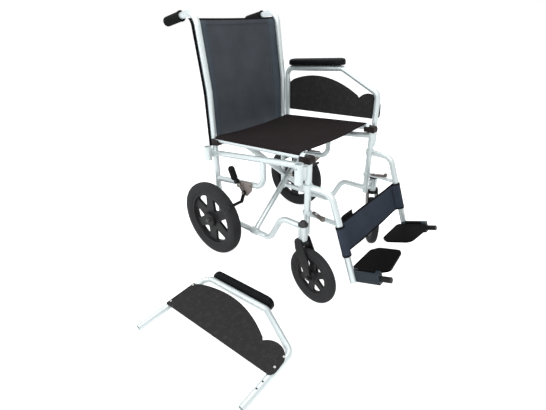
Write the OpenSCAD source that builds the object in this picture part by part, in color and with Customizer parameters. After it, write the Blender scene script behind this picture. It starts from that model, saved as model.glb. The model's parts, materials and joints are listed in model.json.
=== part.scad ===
/* [Side frames] */
// Distance between the left and right posts, centre to centre
post_spacing = 416; // [380:2:480]
// Outside diameter of every frame tube
tube_d = 22; // [20:0.5:25]
// Wall of every frame tube
tube_wall = 1.5; // [1:0.1:2.5]
// Centre radius of the tube bends
bend_r = 42; // [34:1:46]
// Front posts, measured back from the middle of the seat
front_post_y = -225; // [-245:5:-215]
// Rear posts, measured back from the middle of the seat
rear_post_y = 223; // [214:1:240]
// Top of the front posts
front_post_top = 480; // [470:1:490]
// Height where the rear posts begin to lean back
lean_z = 640; // [600:5:680]
// Backward lean of the upper rear posts, in degrees
lean_deg = 7.4; // [4:0.2:10]
// Height of the bend between rear post and push handle
handle_z = 903; // [880:1:930]
// Length of the push handle tube from that bend
handle_len = 174; // [160:1:190]
// Downward slope of the push handles, in degrees
handle_drop = 11; // [5:1:16]
// Height of the lower side rails
lower_rail_z = 130; // [126:1:138]
// Height of the lower side rails where they meet the front posts
kick_z = 242; // [236:1:252]
// Place of the lower kick of the lower side rails
kick_low_y = -55; // [-65:1:-45]
// Place of the upper kick of the lower side rails
kick_high_y = -114; // [-130:1:-108]
// Height of the upper side rails at the rear posts
upper_rail_rear_z = 413; // [405:1:425]
// Height of the upper side rails at the front posts
upper_rail_front_z = 466; // [455:1:468]
// Height of the brake rails at the rear posts
brake_rail_z = 306; // [298:1:316]
// Rise of the brake rails before their upward bend
brake_rail_rise = 32; // [20:1:40]
// Place of the upright part of the brake rails
brake_rail_y = -30; // [-36:1:-20]

/* [Seat and back] */
// Height of the seat rails over the rear saddles
seat_rail_rear_z = 470.5; // [466:0.5:478]
// Height of the seat rails over the front saddles
seat_rail_front_z = 497; // [494:0.5:503]
// Thickness of the seat cloth
seat_cloth = 4; // [2:0.5:6]
// Sag of the seat cloth in its middle
seat_sag = 8; // [4:1:16]
// Height of the lower edge of the back cloth
back_low_z = 440; // [436:1:470]
// Height of the upper edge of the back cloth
back_high_z = 880; // [840:1:884]
// Thickness of the back cloth
back_cloth = 4; // [2:0.5:6]
// Place of the front arm of the cross brace
brace_y = 25; // [15:1:35]
// Space between the two arms of the cross brace
brace_gap = 3; // [2:0.5:5]
// Diameter of the bolt that joins the two arms
brace_bolt_d = 8; // [6:0.5:10]

/* [Rear wheels] */
// Outside diameter of the rear tyres
rear_wheel_d = 310; // [308:1:316]
// Width of the rear tyres
rear_tyre_w = 40; // [32:1:44]
// Distance from the middle of the chair to the middle of a rear wheel
rear_wheel_x = 276; // [274:1:290]
// Place of the rear axles
rear_axle_y = 200; // [198:1:200.5]
// Diameter of the rear axle bolts
rear_axle_d = 12; // [10:0.5:14]
// Number of spokes in every wheel
spokes = 6; // [5:1:8]

/* [Casters] */
// Outside diameter of the caster tyres
caster_d = 200; // [190:1:200]
// Width of the caster tyres
caster_w = 25; // [20:1:28]
// Distance from the swivel axis to the caster axle
caster_trail = 50; // [45:1:52]
// Distance of the swivel axis outside the post line
caster_out = 39; // [38:1:48]
// Place of the swivel axes
caster_y = -238; // [-246:1:-232]
// Lower end of the caster housings
housing_low = 222; // [222:1:226]
// Height of the caster housings
housing_h = 55; // [45:1:60]
// Outside diameter of the caster housings
housing_d = 32; // [30:0.5:34]
// Diameter of the caster stems
stem_d = 12; // [10:0.5:14]
// Turn of the right caster in the rest pose, in degrees
right_caster_turn = -9; // [-30:1:30]
// Turn of the left caster in the rest pose, in degrees
left_caster_turn = 52; // [-30:1:60]

/* [Armrests] */
// Distance of the armrest sockets outside the post line
socket_out = 36; // [34:1:42]
// Outside diameter of the armrest sockets
socket_d = 28; // [26:0.5:30]
// Place of the front armrest legs
front_leg_y = -214; // [-218:1:-208]
// Place of the rear armrest legs
rear_leg_y = 224; // [216:1:228]
// Mouth height of the front sockets
front_socket_top = 485; // [475:1:490]
// Length of the front sockets
front_socket_len = 67; // [50:1:75]
// Mouth height of the rear sockets
rear_socket_top = 448; // [440:1:455]
// Length of the rear sockets
rear_socket_len = 53; // [45:1:60]
// How far the armrest legs reach out under their sockets
leg_reach = 7; // [4:1:8]
// Height of the armrest top tube at its rear bend
arm_rear_z = 680; // [660:1:700]
// Height of the armrest top tube at its front bend
arm_front_z = 696; // [670:1:712]
// Place of the front bend of the armrest top tube
arm_front_y = -52; // [-70:1:-40]
// Height where the slanted armrest tube turns into the front leg
arm_drop_z = 616; // [600:1:630]
// Width of the armrest pads
pad_w = 54; // [44:1:58]
// Thickness of the armrest pads
pad_t = 24; // [20:1:30]
// Length of the armrest pads
pad_len = 272; // [240:1:280]
// Thickness of the armrest guards
guard_t = 3; // [2:0.5:4]
// Distance from the chair's middle to the loose armrest's leg ends
loose_arm_x = -731; // [-770:1:-722]
// Forward shift of the loose armrest on the floor
loose_arm_y = -176; // [-190:1:-150]
// Turn of the loose armrest on the floor, in degrees
loose_arm_turn = 1; // [0:0.5:6]

/* [Footrests] */
// Height of the upper hanger collars
hanger_z = 398; // [392:1:404]
// Place of the bend of the hanger tubes
hanger_bend_y = -313; // [-322:1:-313]
// Forward slope of the hanger tubes, in degrees
hanger_slope = 20; // [20:0.5:21]
// Lower end of the hanger tubes
hanger_low_z = 112; // [108:1:116]
// Height of the lower hanger collars
latch_z = 303; // [298:1:312]
// Distance of the footplate hinge inboard of the hanger tube
plate_hinge_in = 18; // [17:0.5:20]
// Height of the footplate hinge at its rear end
plate_hinge_z = 142; // [138:1:148]
// Place of the rear end of the footplate hinge
plate_hinge_y = -403; // [-408:1:-400]
// Upward slope of the footplates towards the toes, in degrees
plate_slope = 20; // [16:1:22]
// Reach of the footplates from their hinge towards the middle
plate_w = 152; // [130:1:158]
// Length of the footplates along their inboard edge
plate_len_in = 112; // [100:1:125]
// Length of the footplates along their hinge
plate_len_out = 130; // [115:1:135]
// Thickness of the footplates
plate_t = 7; // [5:0.5:8]
// Height of the calf strap
strap_h = 105; // [80:1:115]
// Height of the upper edge of the calf strap
strap_top = 299; // [292:1:299]
// Thickness of the calf strap
strap_t = 3; // [2:0.5:4]

/* [Clearances] */
// Radial clearance of pins, collars and sleeves that turn
run_gap = 0.05; // [0.02:0.01:0.1]
// Gap that stands for a weld seam
weld_gap = 0.05; // [0.02:0.01:0.1]
// Gap between cloth or pads and what carries them
soft_gap = 0.3; // [0.2:0.1:0.5]
// Gap between parts that are bolted side by side
side_gap = 0.3; // [0.2:0.1:0.5]

/* [Hidden] */
$fn = 48;

// Place of the chair's middle over the middle of the whole footprint
chair_x = 212.305;
chair_y = 51.110;

// How far a straight run of tube enters a bend, and how much a bend swells
bend_lap = 0.4;
bend_swell = 0.3;

// How far a coped tube stops short of the middle of the tube that it meets
cope = 3;

post_x = post_spacing / 2;
tube_r = tube_d / 2;
axle_z = rear_wheel_d / 2;
handle_y = rear_post_y + (handle_z - lean_z) * tan(lean_deg);
caster_x = post_x + caster_out;
socket_x = post_x + socket_out;
saddle_half = tube_r + 4;
rail_rear_end = rear_post_y - tube_r - 8;
rail_front_end = front_post_y + tube_r;
seat_slope = atan2(seat_rail_front_z - seat_rail_rear_z, rail_rear_end - rail_front_end);
brace_top_z = rail_z(brace_y);
brace_slant = atan2(brace_top_z - lower_rail_z, post_spacing);
brace_len = norm([post_spacing, brace_top_z - lower_rail_z]);
brace_mid_z = (lower_rail_z + brace_top_z) / 2;
brace_step = tube_d + brace_gap;
sleeve_wall = 3.5;

// Height of a seat rail's centre line at a place along the chair
function rail_z(y) = seat_rail_rear_z
    + (rail_rear_end - y) * (seat_rail_front_z - seat_rail_rear_z) / (rail_rear_end - rail_front_end);

// Turn of a path at one of its corners, in degrees, positive to the left
function turn_at(path, i) =
    let (u = path[i] - path[i - 1], v = path[i + 1] - path[i])
    atan2(u.x * v.y - u.y * v.x, u.x * v.x + u.y * v.y);

// Length that a bend takes from the straight run on each side of a corner
function trim_at(path, i, bend) =
    (i == 0 || i == len(path) - 1) ? 0 : bend * tan(abs(turn_at(path, i)) / 2);

// Arc that rounds the corner b between its neighbours a and c
function corner_arc(a, b, c, r, steps) =
    let (u = (a - b) / norm(a - b), v = (c - b) / norm(c - b),
        half = acos(u * v) / 2,
        heart = b + (u + v) / norm(u + v) * r / sin(half),
        p = b + u * r / tan(half) - heart,
        q = b + v * r / tan(half) - heart,
        first = atan2(p.y, p.x),
        sweep = atan2(p.x * q.y - p.y * q.x, p.x * q.x + p.y * q.y))
    [for (k = [0 : steps]) heart + r * [cos(first + sweep * k / steps), sin(first + sweep * k / steps)]];

// Outline with every corner rounded, where each point is [x, y, radius]
function rounded(points, steps = 5) =
    let (n = len(points), xy = [for (p = points) [p.x, p.y]])
    [for (i = [0 : n - 1])
        each corner_arc(xy[(i + n - 1) % n], xy[i], xy[(i + 1) % n], points[i][2], steps)];

// Moves the chair so that the floor under the middle of its footprint is the origin
module placed() { translate([chair_x, chair_y, 0]) children(); }
module mirrored() { mirror([1, 0, 0]) children(); }

// Turns an outline drawn in y and z into the upright plane of a side frame
module side_plane(x) { translate([x, 0, 0]) rotate([90, 0, 90]) children(); }

// Cross section of a tube, or of a solid bar where the wall fills it
module ring(d, wall) {
    difference() {
        circle(d = d);
        if (d > 2 * wall + 0.1) circle(d = d - 2 * wall);
    }
}

module tube_run(path, i, bend, d, wall) {
    step = path[i + 1] - path[i];
    way = step / norm(step);
    lap_in = i == 0 ? 0 : bend_lap;
    lap_out = i == len(path) - 2 ? 0 : bend_lap;
    start = path[i] + way * (trim_at(path, i, bend) - lap_in);
    reach = norm(step) - trim_at(path, i, bend) - trim_at(path, i + 1, bend) + lap_in + lap_out;
    translate([start.x, start.y, 0]) rotate([0, 90, atan2(way.y, way.x)])
        linear_extrude(reach) ring(d, wall);
}

module tube_bend(path, i, bend, d, wall) {
    turn = turn_at(path, i);
    way = (path[i] - path[i - 1]) / norm(path[i] - path[i - 1]);
    entry = path[i] - way * trim_at(path, i, bend);
    heart = entry + sign(turn) * bend * [-way.y, way.x];
    first = atan2(entry.y - heart.y, entry.x - heart.x) - (turn < 0 ? abs(turn) : 0);
    translate([heart.x, heart.y, 0]) rotate([0, 0, first])
        rotate_extrude(angle = abs(turn)) translate([bend, 0]) ring(d + bend_swell, wall + bend_swell);
}

// Bent tube that follows the corners of a path in the plane
module bent_tube(path, bend = bend_r, d = tube_d, wall = tube_wall) {
    for (i = [0 : len(path) - 2]) tube_run(path, i, bend, d, wall);
    for (i = [1 : 1 : len(path) - 2]) tube_bend(path, i, bend, d, wall);
}

// Solid rod between two points of the plane, used to cope what is welded against it
module rod(a, b, d) {
    way = b - a;
    translate([a.x, a.y, 0]) rotate([0, 90, atan2(way.y, way.x)]) cylinder(d = d, h = norm(way));
}

// Upright space of the rear and front posts, with the weld gap round it
module post_space(grow = weld_gap) {
    for (y = [front_post_y, rear_post_y])
        translate([-post_x, y, 0]) cylinder(r = tube_r + grow, h = lean_z);
}

back_post_path = [[rear_post_y, lower_rail_z - tube_r - 8], [rear_post_y, lean_z], [handle_y, handle_z],
    [handle_y + handle_len * cos(handle_drop), handle_z - handle_len * sin(handle_drop)]];
upper_rail_path = [[rear_post_y - cope, upper_rail_rear_z], [front_post_y + cope, upper_rail_front_z]];
lower_rail_path = [[rear_post_y - cope, lower_rail_z], [kick_low_y, lower_rail_z],
    [kick_high_y, kick_z - 2], [front_post_y + cope, kick_z]];
brake_rail_top = upper_rail_rear_z + (upper_rail_front_z - upper_rail_rear_z)
    * (rear_post_y - brake_rail_y) / (rear_post_y - front_post_y);
brake_rail_path = [[rear_post_y - cope, brake_rail_z], [brake_rail_y, brake_rail_z + brake_rail_rise],
    [brake_rail_y, brake_rail_top - cope]];

// Axle sleeve welded in the corner between rear post and lower rail
axle_sleeve_d = 2 * (rear_post_y - tube_r - rear_axle_y) + 1;
axle_sleeve_in = post_x - 14;
axle_sleeve_out = rear_wheel_x - rear_tyre_w / 2 - 6;

module back_post() {
    color("silver") difference() {
        union() {
            side_plane(-post_x) bent_tube(back_post_path);
            translate([-axle_sleeve_out, rear_axle_y, axle_z]) rotate([0, 90, 0])
                cylinder(d = axle_sleeve_d, h = axle_sleeve_out - axle_sleeve_in);
        }
        translate([-axle_sleeve_out - 1, rear_axle_y, axle_z]) rotate([0, 90, 0])
            cylinder(r = rear_axle_d / 2 + run_gap, h = axle_sleeve_out - axle_sleeve_in + 2);
    }
}

module front_post() {
    color("silver") translate([-post_x, front_post_y, housing_low])
        linear_extrude(front_post_top - housing_low) ring(tube_d, tube_wall);
}

module upper_rail() {
    color("silver") difference() {
        side_plane(-post_x) bent_tube(upper_rail_path);
        post_space();
    }
}

module lower_rail() {
    color("silver") difference() {
        side_plane(-post_x) bent_tube(lower_rail_path);
        post_space();
    }
}

module brake_rail() {
    color("silver") difference() {
        side_plane(-post_x) bent_tube(brake_rail_path);
        post_space();
        side_plane(-post_x) rod(upper_rail_path[0], upper_rail_path[1], tube_d + 2 * weld_gap);
    }
}

// Plate that ties an outboard tube to a post, turned so that it points at the post
module tie_plate(x, y, post_y, low, high, thick) {
    gap_way = [-post_x - x, post_y - y];
    translate([x, y, low]) rotate([0, 0, atan2(gap_way.y, gap_way.x)])
        translate([0, -thick / 2, 0]) cube([norm(gap_way), thick, high - low]);
}

bearing_h = 8;

module caster_housing() {
    color("silver") {
        difference() {
            union() {
                translate([-caster_x, caster_y, housing_low]) cylinder(d = housing_d, h = housing_h);
                for (low = [housing_low + 12, housing_low + housing_h - 16])
                    tie_plate(-caster_x, caster_y, front_post_y, low, low + 10, 12);
            }
            translate([-caster_x, caster_y, housing_low - 1]) {
                cylinder(r = stem_d / 2 + run_gap, h = housing_h + 2);
                translate([0, 0, bearing_h + 1]) cylinder(d = housing_d - 6, h = housing_h - 2 * bearing_h);
            }
            post_space();
        }
    }
    color("black") translate([-caster_x, caster_y, housing_low + housing_h + weld_gap]) rotate_extrude()
        polygon(concat([[0, 0], [housing_d / 2 + 1, 0], [housing_d / 2 + 1, 6], [housing_d / 2 - 3, 9]],
            [for (a = [10 : 10 : 90]) [(housing_d / 2 - 4) * cos(a), 9 + 10 * sin(a)]]));
}

module socket(y, top, length) {
    difference() {
        union() {
            translate([-socket_x, y, top - length]) cylinder(d = socket_d, h = length);
            translate([-socket_x, y, top - 4]) cylinder(d = socket_d + 3, h = 4);
            tie_plate(-socket_x, y, y < 0 ? front_post_y : rear_post_y, top - length + 8, top - 14, 7);
        }
        translate([-socket_x, y, top - length - 1]) cylinder(r = tube_r + run_gap, h = length + 2);
        post_space();
        side_plane(-post_x) rod(upper_rail_path[0], upper_rail_path[1], tube_d + 2 * weld_gap);
        if (y < 0) translate([-socket_x, y, top - 14]) rotate([0, -90, 0])
            cylinder(d = 6, h = socket_d);
    }
}

module arm_sockets() {
    color("silver") {
        socket(front_leg_y, front_socket_top, front_socket_len);
        socket(rear_leg_y, rear_socket_top, rear_socket_len);
    }
}

// Space of a seat rail and the way above it, open upwards so that the rail lifts out
module rail_space(grow, from_y, to_y) {
    a = [from_y, rail_z(from_y)];
    b = [to_y, rail_z(to_y)];
    side_plane(-post_x) rod(a, b, tube_d + 2 * grow);
    side_plane(-post_x) linear_extrude(tube_d + 2 * grow, center = true)
        polygon([a, b, b + [0, 60], a + [0, 60]]);
}

saddle_len = 18;

module saddles() {
    front_stop = rail_front_end - 2;
    color("saddlebrown") difference() {
        union() {
            side_plane(-post_x) linear_extrude(2 * saddle_half, center = true) polygon(rounded([
                [front_post_y - saddle_half, front_post_top + weld_gap, 2],
                [rail_front_end + saddle_len, front_post_top + weld_gap, 2],
                [rail_front_end + saddle_len, seat_rail_front_z + 2, 3],
                [front_post_y - saddle_half + 3, seat_rail_front_z + 5, 8]]));
            translate([-post_x, front_post_y, front_post_top - 18])
                cylinder(r = tube_r - tube_wall - 0.1, h = 18 + 2 * weld_gap);
        }
        rail_space(soft_gap, front_stop, rail_front_end + 60);
    }
    color("saddlebrown") difference() {
        side_plane(-post_x) linear_extrude(2 * saddle_half, center = true) polygon(rounded([
            [rail_rear_end - saddle_len, rail_z(rail_rear_end) - tube_r - 7, 2],
            [rear_post_y, rail_z(rail_rear_end) - tube_r - 12, 2],
            [rear_post_y, rail_z(rail_rear_end) + 3, 2],
            [rail_rear_end - saddle_len, rail_z(rail_rear_end) + 3, 3]]));
        rail_space(soft_gap, rail_rear_end - 60, rail_rear_end + 2);
        post_space();
    }
}

// One seat rail, open at both ends
module seat_rail() {
    color("silver") side_plane(-post_x)
        bent_tube([[rail_rear_end, rail_z(rail_rear_end)], [rail_front_end, rail_z(rail_front_end)]]);
}

// Cross brace arm from the right lower rail up to the left seat rail
module brace_arm(y) {
    bore_r = brace_bolt_d / 2 + run_gap;
    color("silver") difference() {
        union() {
            translate([-post_x, y, lower_rail_z]) rotate([0, 90 - brace_slant, 0])
                linear_extrude(brace_len) ring(tube_d, tube_wall);
            translate([-post_x, y - tube_r - 4, lower_rail_z]) rotate([-90, 0, 0])
                cylinder(d = tube_d + 2 * sleeve_wall, h = tube_d + 8);
            translate([0, y - tube_r + 0.5, brace_mid_z]) rotate([-90, 0, 0])
                cylinder(d = brace_bolt_d + 7, h = tube_d - 1);
        }
        translate([-post_x, y - tube_r - 5, lower_rail_z]) rotate([-90, 0, 0])
            cylinder(r = tube_r + run_gap, h = tube_d + 10);
        translate([0, y - tube_r - 1, brace_mid_z]) rotate([-90, 0, 0])
            cylinder(r = bore_r, h = tube_d + 2);
        mirrored() side_plane(-post_x)
            rod([rail_rear_end, rail_z(rail_rear_end)], [rail_front_end, rail_z(rail_front_end)],
                tube_d + 2 * weld_gap);
        translate([post_x, y - tube_d, brace_top_z]) cube([tube_d, 2 * tube_d, tube_d]);
    }
}

module brace_bolt() {
    near = brace_y - tube_r - 2;
    far = brace_y + brace_step + tube_r + 2;
    color("dimgray") translate([0, 0, brace_mid_z]) rotate([-90, 0, 0]) {
        translate([0, 0, near]) cylinder(d = brace_bolt_d, h = far - near);
        translate([0, 0, near - 5]) cylinder(d = 15, h = 6, $fn = 6);
        translate([0, 0, far - 1]) cylinder(d = 15, h = 7, $fn = 6);
        translate([0, 0, brace_y + tube_r + side_gap])
            cylinder(d = 18, h = brace_gap - 2 * side_gap);
    }
}

grip_len = 98;
grip_d = 32;
grip_rings = 8;

module grip() {
    ring_step = (grip_len - 16) / grip_rings;
    color("black") side_plane(-post_x)
        translate([back_post_path[3].x, back_post_path[3].y, 0])
        rotate([0, 90, -handle_drop]) translate([0, 0, 4 - grip_len]) difference() {
            rotate_extrude() polygon(concat(
                [[0, 0], [grip_d / 2 + 2, 0], [grip_d / 2 + 2, 4], [grip_d / 2 - 1, 6]],
                [for (i = [0 : grip_rings - 1]) each [
                    [grip_d / 2 - 1, 6 + (i + 0.1) * ring_step], [grip_d / 2 + 0.5, 6 + (i + 0.3) * ring_step],
                    [grip_d / 2 + 0.5, 6 + (i + 0.7) * ring_step], [grip_d / 2 - 1, 6 + (i + 0.9) * ring_step]]],
                [for (a = [0 : 15 : 90]) [grip_d / 2 - 8 + 8 * cos(a), grip_len - 8 + 8 * sin(a)]],
                [[0, grip_len]]));
            translate([0, 0, -1]) cylinder(r = tube_r + run_gap, h = grip_len - 3 + weld_gap);
        }
}

// Body of a tyre: flat seat inside, crowned tread outside
module tyre(d, w, inner_d) {
    rim_r = inner_d / 2;
    crown = (d - inner_d) / 2;
    rotate([0, 90, 0]) rotate_extrude($fn = 96) polygon(concat(
        [[rim_r, -w * 0.36], [rim_r + crown * 0.35, -w / 2]],
        [for (a = [-60 : 12 : 60]) [d / 2 - w * 0.28 * (1 - cos(a)) , w / 2 * sin(a) / sin(72)]],
        [[rim_r + crown * 0.35, w / 2], [rim_r, w * 0.36]]));
}

// One window between two spokes, drawn round the middle of the wheel
module window(inner_r, outer_r, spoke_w, round_r) {
    half = 180 / spokes;
    low = inner_r + spoke_w / 2;
    edge = asin((spoke_w / 2) / outer_r) ;
    arc = [for (k = [-3 : 3]) outer_r * [cos(k * (half - edge - 3) / 3), sin(k * (half - edge - 3) / 3)]];
    points = concat([[low, 0, round_r]],
        [for (p = arc) [p.x, p.y, p == arc[0] || p == arc[6] ? round_r : 1]]);
    polygon(rounded([for (i = [0 : len(points) - 1]) points[i]], 3));
}

// Moulded wheel: rim, dished web with windows, and hub, its bore along X
module wheel(rim_d, rim_w, hub_d, hub_w, bore_d, web_t, spoke_w) {
    rim_r = rim_d / 2;
    window_out = rim_r - 9;
    difference() {
        rotate([0, 90, 0]) rotate_extrude($fn = 96) polygon([
            [bore_d / 2 + run_gap, -hub_w / 2], [hub_d / 2 - 4, -hub_w / 2], [hub_d / 2, -hub_w / 2 + 5],
            [hub_d / 2 + 2, -web_t / 2 - 2], [hub_d / 2 + 8, -web_t / 2],
            [window_out, -web_t / 2], [window_out + 3, -rim_w * 0.36], [rim_r, -rim_w * 0.36],
            [rim_r, rim_w * 0.36], [window_out + 3, rim_w * 0.36], [window_out, web_t / 2],
            [hub_d / 2 + 8, web_t / 2], [hub_d / 2 + 2, web_t / 2 + 2],
            [hub_d / 2, hub_w / 2 - 5], [hub_d / 2 - 4, hub_w / 2], [bore_d / 2 + run_gap, hub_w / 2]]);
        rotate([0, 90, 0]) for (i = [0 : spokes - 1])
            rotate([0, 0, (i + 0.5) * 360 / spokes]) linear_extrude(web_t * 2, center = true)
                window(hub_d / 2, window_out - 1, spoke_w, 5);
    }
}

rear_rim_d = rear_wheel_d - 88;
rear_hub_d = 62;
rear_hub_w = 46;

module at_rear_axle() { translate([-rear_wheel_x, rear_axle_y, axle_z]) children(); }

module rear_tyre() {
    color("dimgray") at_rear_axle() tyre(rear_wheel_d, rear_tyre_w, rear_rim_d + 2 * weld_gap);
}

module rear_wheel() {
    color("black") at_rear_axle()
        wheel(rear_rim_d, rear_tyre_w, rear_hub_d, rear_hub_w, rear_axle_d, 12, 26);
}

module rear_axle() {
    out = rear_hub_w / 2;
    inner_end = rear_wheel_x - axle_sleeve_in;
    color("gray") at_rear_axle() rotate([0, 90, 0]) {
        translate([0, 0, -out - 5]) cylinder(d = rear_axle_d, h = inner_end + out + 12);
        translate([0, 0, -out - 8]) cylinder(d1 = 16, d2 = 24, h = 7 - side_gap);
        translate([0, 0, out + side_gap])
            cylinder(d = 22, h = rear_wheel_x - axle_sleeve_out - out - 2 * side_gap);
        translate([0, 0, inner_end + side_gap]) cylinder(d = 20, h = 7, $fn = 6);
    }
}

caster_rim_d = caster_d - 62;
caster_hub_d = 36;
caster_hub_w = 30;
caster_bolt_d = 8;
fork_in = caster_hub_w / 2 + 1;
fork_t = 6;

// Places a caster piece that is drawn round its swivel axis, trailing forwards
module at_swivel(turn) { translate([-caster_x, caster_y, 0]) rotate([0, 0, turn]) children(); }
module at_caster_axle(turn) {
    at_swivel(turn) translate([0, -caster_trail, caster_d / 2]) children();
}

module caster_tyre(turn) {
    color("dimgray") at_caster_axle(turn) tyre(caster_d, caster_w, caster_rim_d + 2 * weld_gap);
}

module caster_wheel(turn) {
    color("black") at_caster_axle(turn)
        wheel(caster_rim_d, caster_w, caster_hub_d, caster_hub_w, caster_bolt_d, 9, 13);
}

// Moulded fork: two slanted legs under a crown with a notched front, its stem and axle bolt
module caster_fork(turn) {
    axle = [-caster_trail, caster_d / 2];
    crown_low = caster_d + 9;
    crown_high = housing_low - 1.5;
    shoulder = housing_low + 9;
    leg = rounded([[-caster_trail - 12, axle.y - 2, 6], [-caster_trail - 2, axle.y - 14, 9],
        [-caster_trail + 13, axle.y - 4, 8], [14, crown_low - 20, 20], [18, crown_high - 2, 5],
        [11, shoulder, 7], [-11, shoulder, 7], [-18, crown_high - 2, 5],
        [-caster_trail + 6, crown_low - 36, 30]]);
    color("black") at_swivel(turn) difference() {
        union() {
            for (side = [-1, 1])
                side_plane(side * (fork_in + fork_t / 2)) linear_extrude(fork_t, center = true) polygon(leg);
            translate([-fork_in - fork_t, -15, crown_low]) cube([2 * (fork_in + fork_t), 30, crown_high - crown_low]);
            translate([0, 0, crown_low]) cylinder(r = 21, h = crown_high - crown_low);
            translate([0, 0, crown_low]) cylinder(d = stem_d, h = housing_low + housing_h - crown_low);
            for (side = [-1, 1])
                translate([side * (fork_in + fork_t), -caster_trail, axle.y]) rotate([0, 90 * side, 0])
                    cylinder(d = 15, h = 4, $fn = 6);
            translate([-fork_in - fork_t, -caster_trail, axle.y]) rotate([0, 90, 0])
                cylinder(d = caster_bolt_d, h = 2 * (fork_in + fork_t));
        }
        translate([0, 0, crown_high]) difference() {
            cylinder(r = housing_d / 2 + 1, h = 20);
            translate([0, 0, -1]) cylinder(d = stem_d, h = 22);
        }
    }
}

shoe_r = 6;
shoe_angle = 38;
shoe_reach = rear_wheel_d / 2 + shoe_r + 0.8;
shoe_y = rear_axle_y - shoe_reach * cos(shoe_angle);
shoe_z = axle_z + shoe_reach * sin(shoe_angle);
lever_pivot = [rear_axle_y - 122, brake_rail_z + 16];
shoe_pivot = [rear_axle_y - 144, brake_rail_z - 8];
brake_pin_d = 6;
bracket_t = 4;
bracket_x = post_x + tube_r + side_gap;
lever_x = bracket_x + bracket_t + side_gap;

// Flat link with round ends between two points of the plane
module link(a, b, w) {
    way = (b - a) / norm(b - a);
    across = [-way.y, way.x] * w / 2;
    translate(a) circle(d = w);
    translate(b) circle(d = w);
    polygon([a + across, b + across, b - across, a - across]);
}

module brake_bracket() {
    rail_at = brake_rail_z + brake_rail_rise * (rear_post_y - 45) / (rear_post_y - brake_rail_y);
    color("gray") difference() {
        union() {
            side_plane(-bracket_x - bracket_t) linear_extrude(bracket_t) polygon(rounded([
                [16, rail_at + 16, 4], [72, rail_at + 12, 6], [92, lever_pivot.y - 2, 8],
                [64, shoe_pivot.y - 12, 8], [44, shoe_pivot.y - 14, 6], [18, rail_at - 16, 4]]));
            for (pivot = [lever_pivot, shoe_pivot]) {
                side_plane(-lever_x - 9) translate(pivot) cylinder(d = brake_pin_d, h = 10);
                side_plane(-lever_x - 12) translate(pivot) cylinder(d = brake_pin_d + 4, h = 3);
            }
            for (y = [26, 60]) side_plane(-bracket_x - bracket_t - 3) translate([y, rail_at + 2])
                cylinder(d = 9, h = 4, $fn = 6);
        }
        side_plane(-post_x) bent_tube(brake_rail_path, d = tube_d + 2 * weld_gap, wall = tube_d);
    }
}

module brake_lever() {
    knee = lever_pivot + [8, 16];
    grip_tilt = 67;
    grip_r = 10;
    grip_x = lever_x + grip_r + 0.5;
    core_d = 9;
    color("gray") difference() {
        union() {
            side_plane(-lever_x - 4) linear_extrude(4) {
                link(lever_pivot, knee, 16);
                link(lever_pivot, lever_pivot - [16, 6], 10);
            }
            side_plane(-grip_x - 5) translate(knee) cylinder(d = 16, h = grip_x + 5 - lever_x);
            side_plane(-grip_x) translate(knee) rotate([0, 90, grip_tilt]) cylinder(d = core_d, h = 46);
        }
        side_plane(-lever_x - 5) translate(lever_pivot) cylinder(r = brake_pin_d / 2 + run_gap, h = 6);
    }
    color("black") difference() {
        side_plane(-grip_x) translate(knee) rotate([0, 90, grip_tilt]) rotate_extrude()
            polygon(concat([[0, 5], [grip_r - 2, 5], [grip_r, 11]],
                [for (a = [0 : 15 : 90]) [grip_r * cos(a), 46 + grip_r * sin(a)]]));
        side_plane(-grip_x) translate(knee) rotate([0, 90, grip_tilt])
            cylinder(d = core_d + 2 * weld_gap, h = 46 + weld_gap);
        side_plane(-grip_x - 6) translate(knee) cylinder(d = 16 + 2 * weld_gap, h = 12);
    }
}

module brake_shoe() {
    color("black") difference() {
        union() {
            side_plane(-lever_x - 4) linear_extrude(4) link(shoe_pivot, [shoe_y, shoe_z], 14);
            side_plane(-rear_wheel_x - rear_tyre_w / 2 + 3) translate([shoe_y, shoe_z])
                cylinder(r = shoe_r, h = rear_wheel_x + rear_tyre_w / 2 - 3 - lever_x);
        }
        side_plane(-lever_x - 5) translate(shoe_pivot)
            cylinder(r = brake_pin_d / 2 + run_gap, h = 6);
    }
}

hanger_down = [-sin(hanger_slope), -cos(hanger_slope)];
hanger_path = [[front_post_y - tube_r - 2, hanger_z], [hanger_bend_y, hanger_z],
    [hanger_bend_y, hanger_z] + hanger_down * (hanger_z - hanger_low_z) / cos(hanger_slope)];
collar_d = tube_d + 9;

// Height-dependent place of the hanger tube's centre line
function hanger_y(z) = hanger_bend_y - (hanger_z - z) * tan(hanger_slope);

// Frame of the footplate hinge: x inboard, y back along the pin, z up from the plate
module at_plate_hinge() {
    translate([-post_x + plate_hinge_in, plate_hinge_y, plate_hinge_z]) rotate([-plate_slope, 0, 0])
        children();
}

hinge_len = 98;
hinge_out = 16;
hinge_low = 32;
ear_t = 14;
ear_r = 8;
hinge_pin_d = 8;
ear_places = [-6 - ear_t, -hinge_len];

module hanger() {
    color("silver") difference() {
        union() {
            side_plane(-post_x) bent_tube(hanger_path);
            translate([-post_x, front_post_y, hanger_z - 10]) cylinder(d = collar_d, h = 20);
            translate([-post_x, front_post_y, latch_z - 6]) cylinder(d = collar_d, h = 12);
            translate([-post_x - 10, hanger_y(latch_z), latch_z - 2.5])
                cube([20, front_post_y - hanger_y(latch_z), 5]);
        }
        translate([-post_x, front_post_y, latch_z - 20])
            cylinder(r = tube_r + run_gap, h = hanger_z - latch_z + 40);
    }
}

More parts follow.
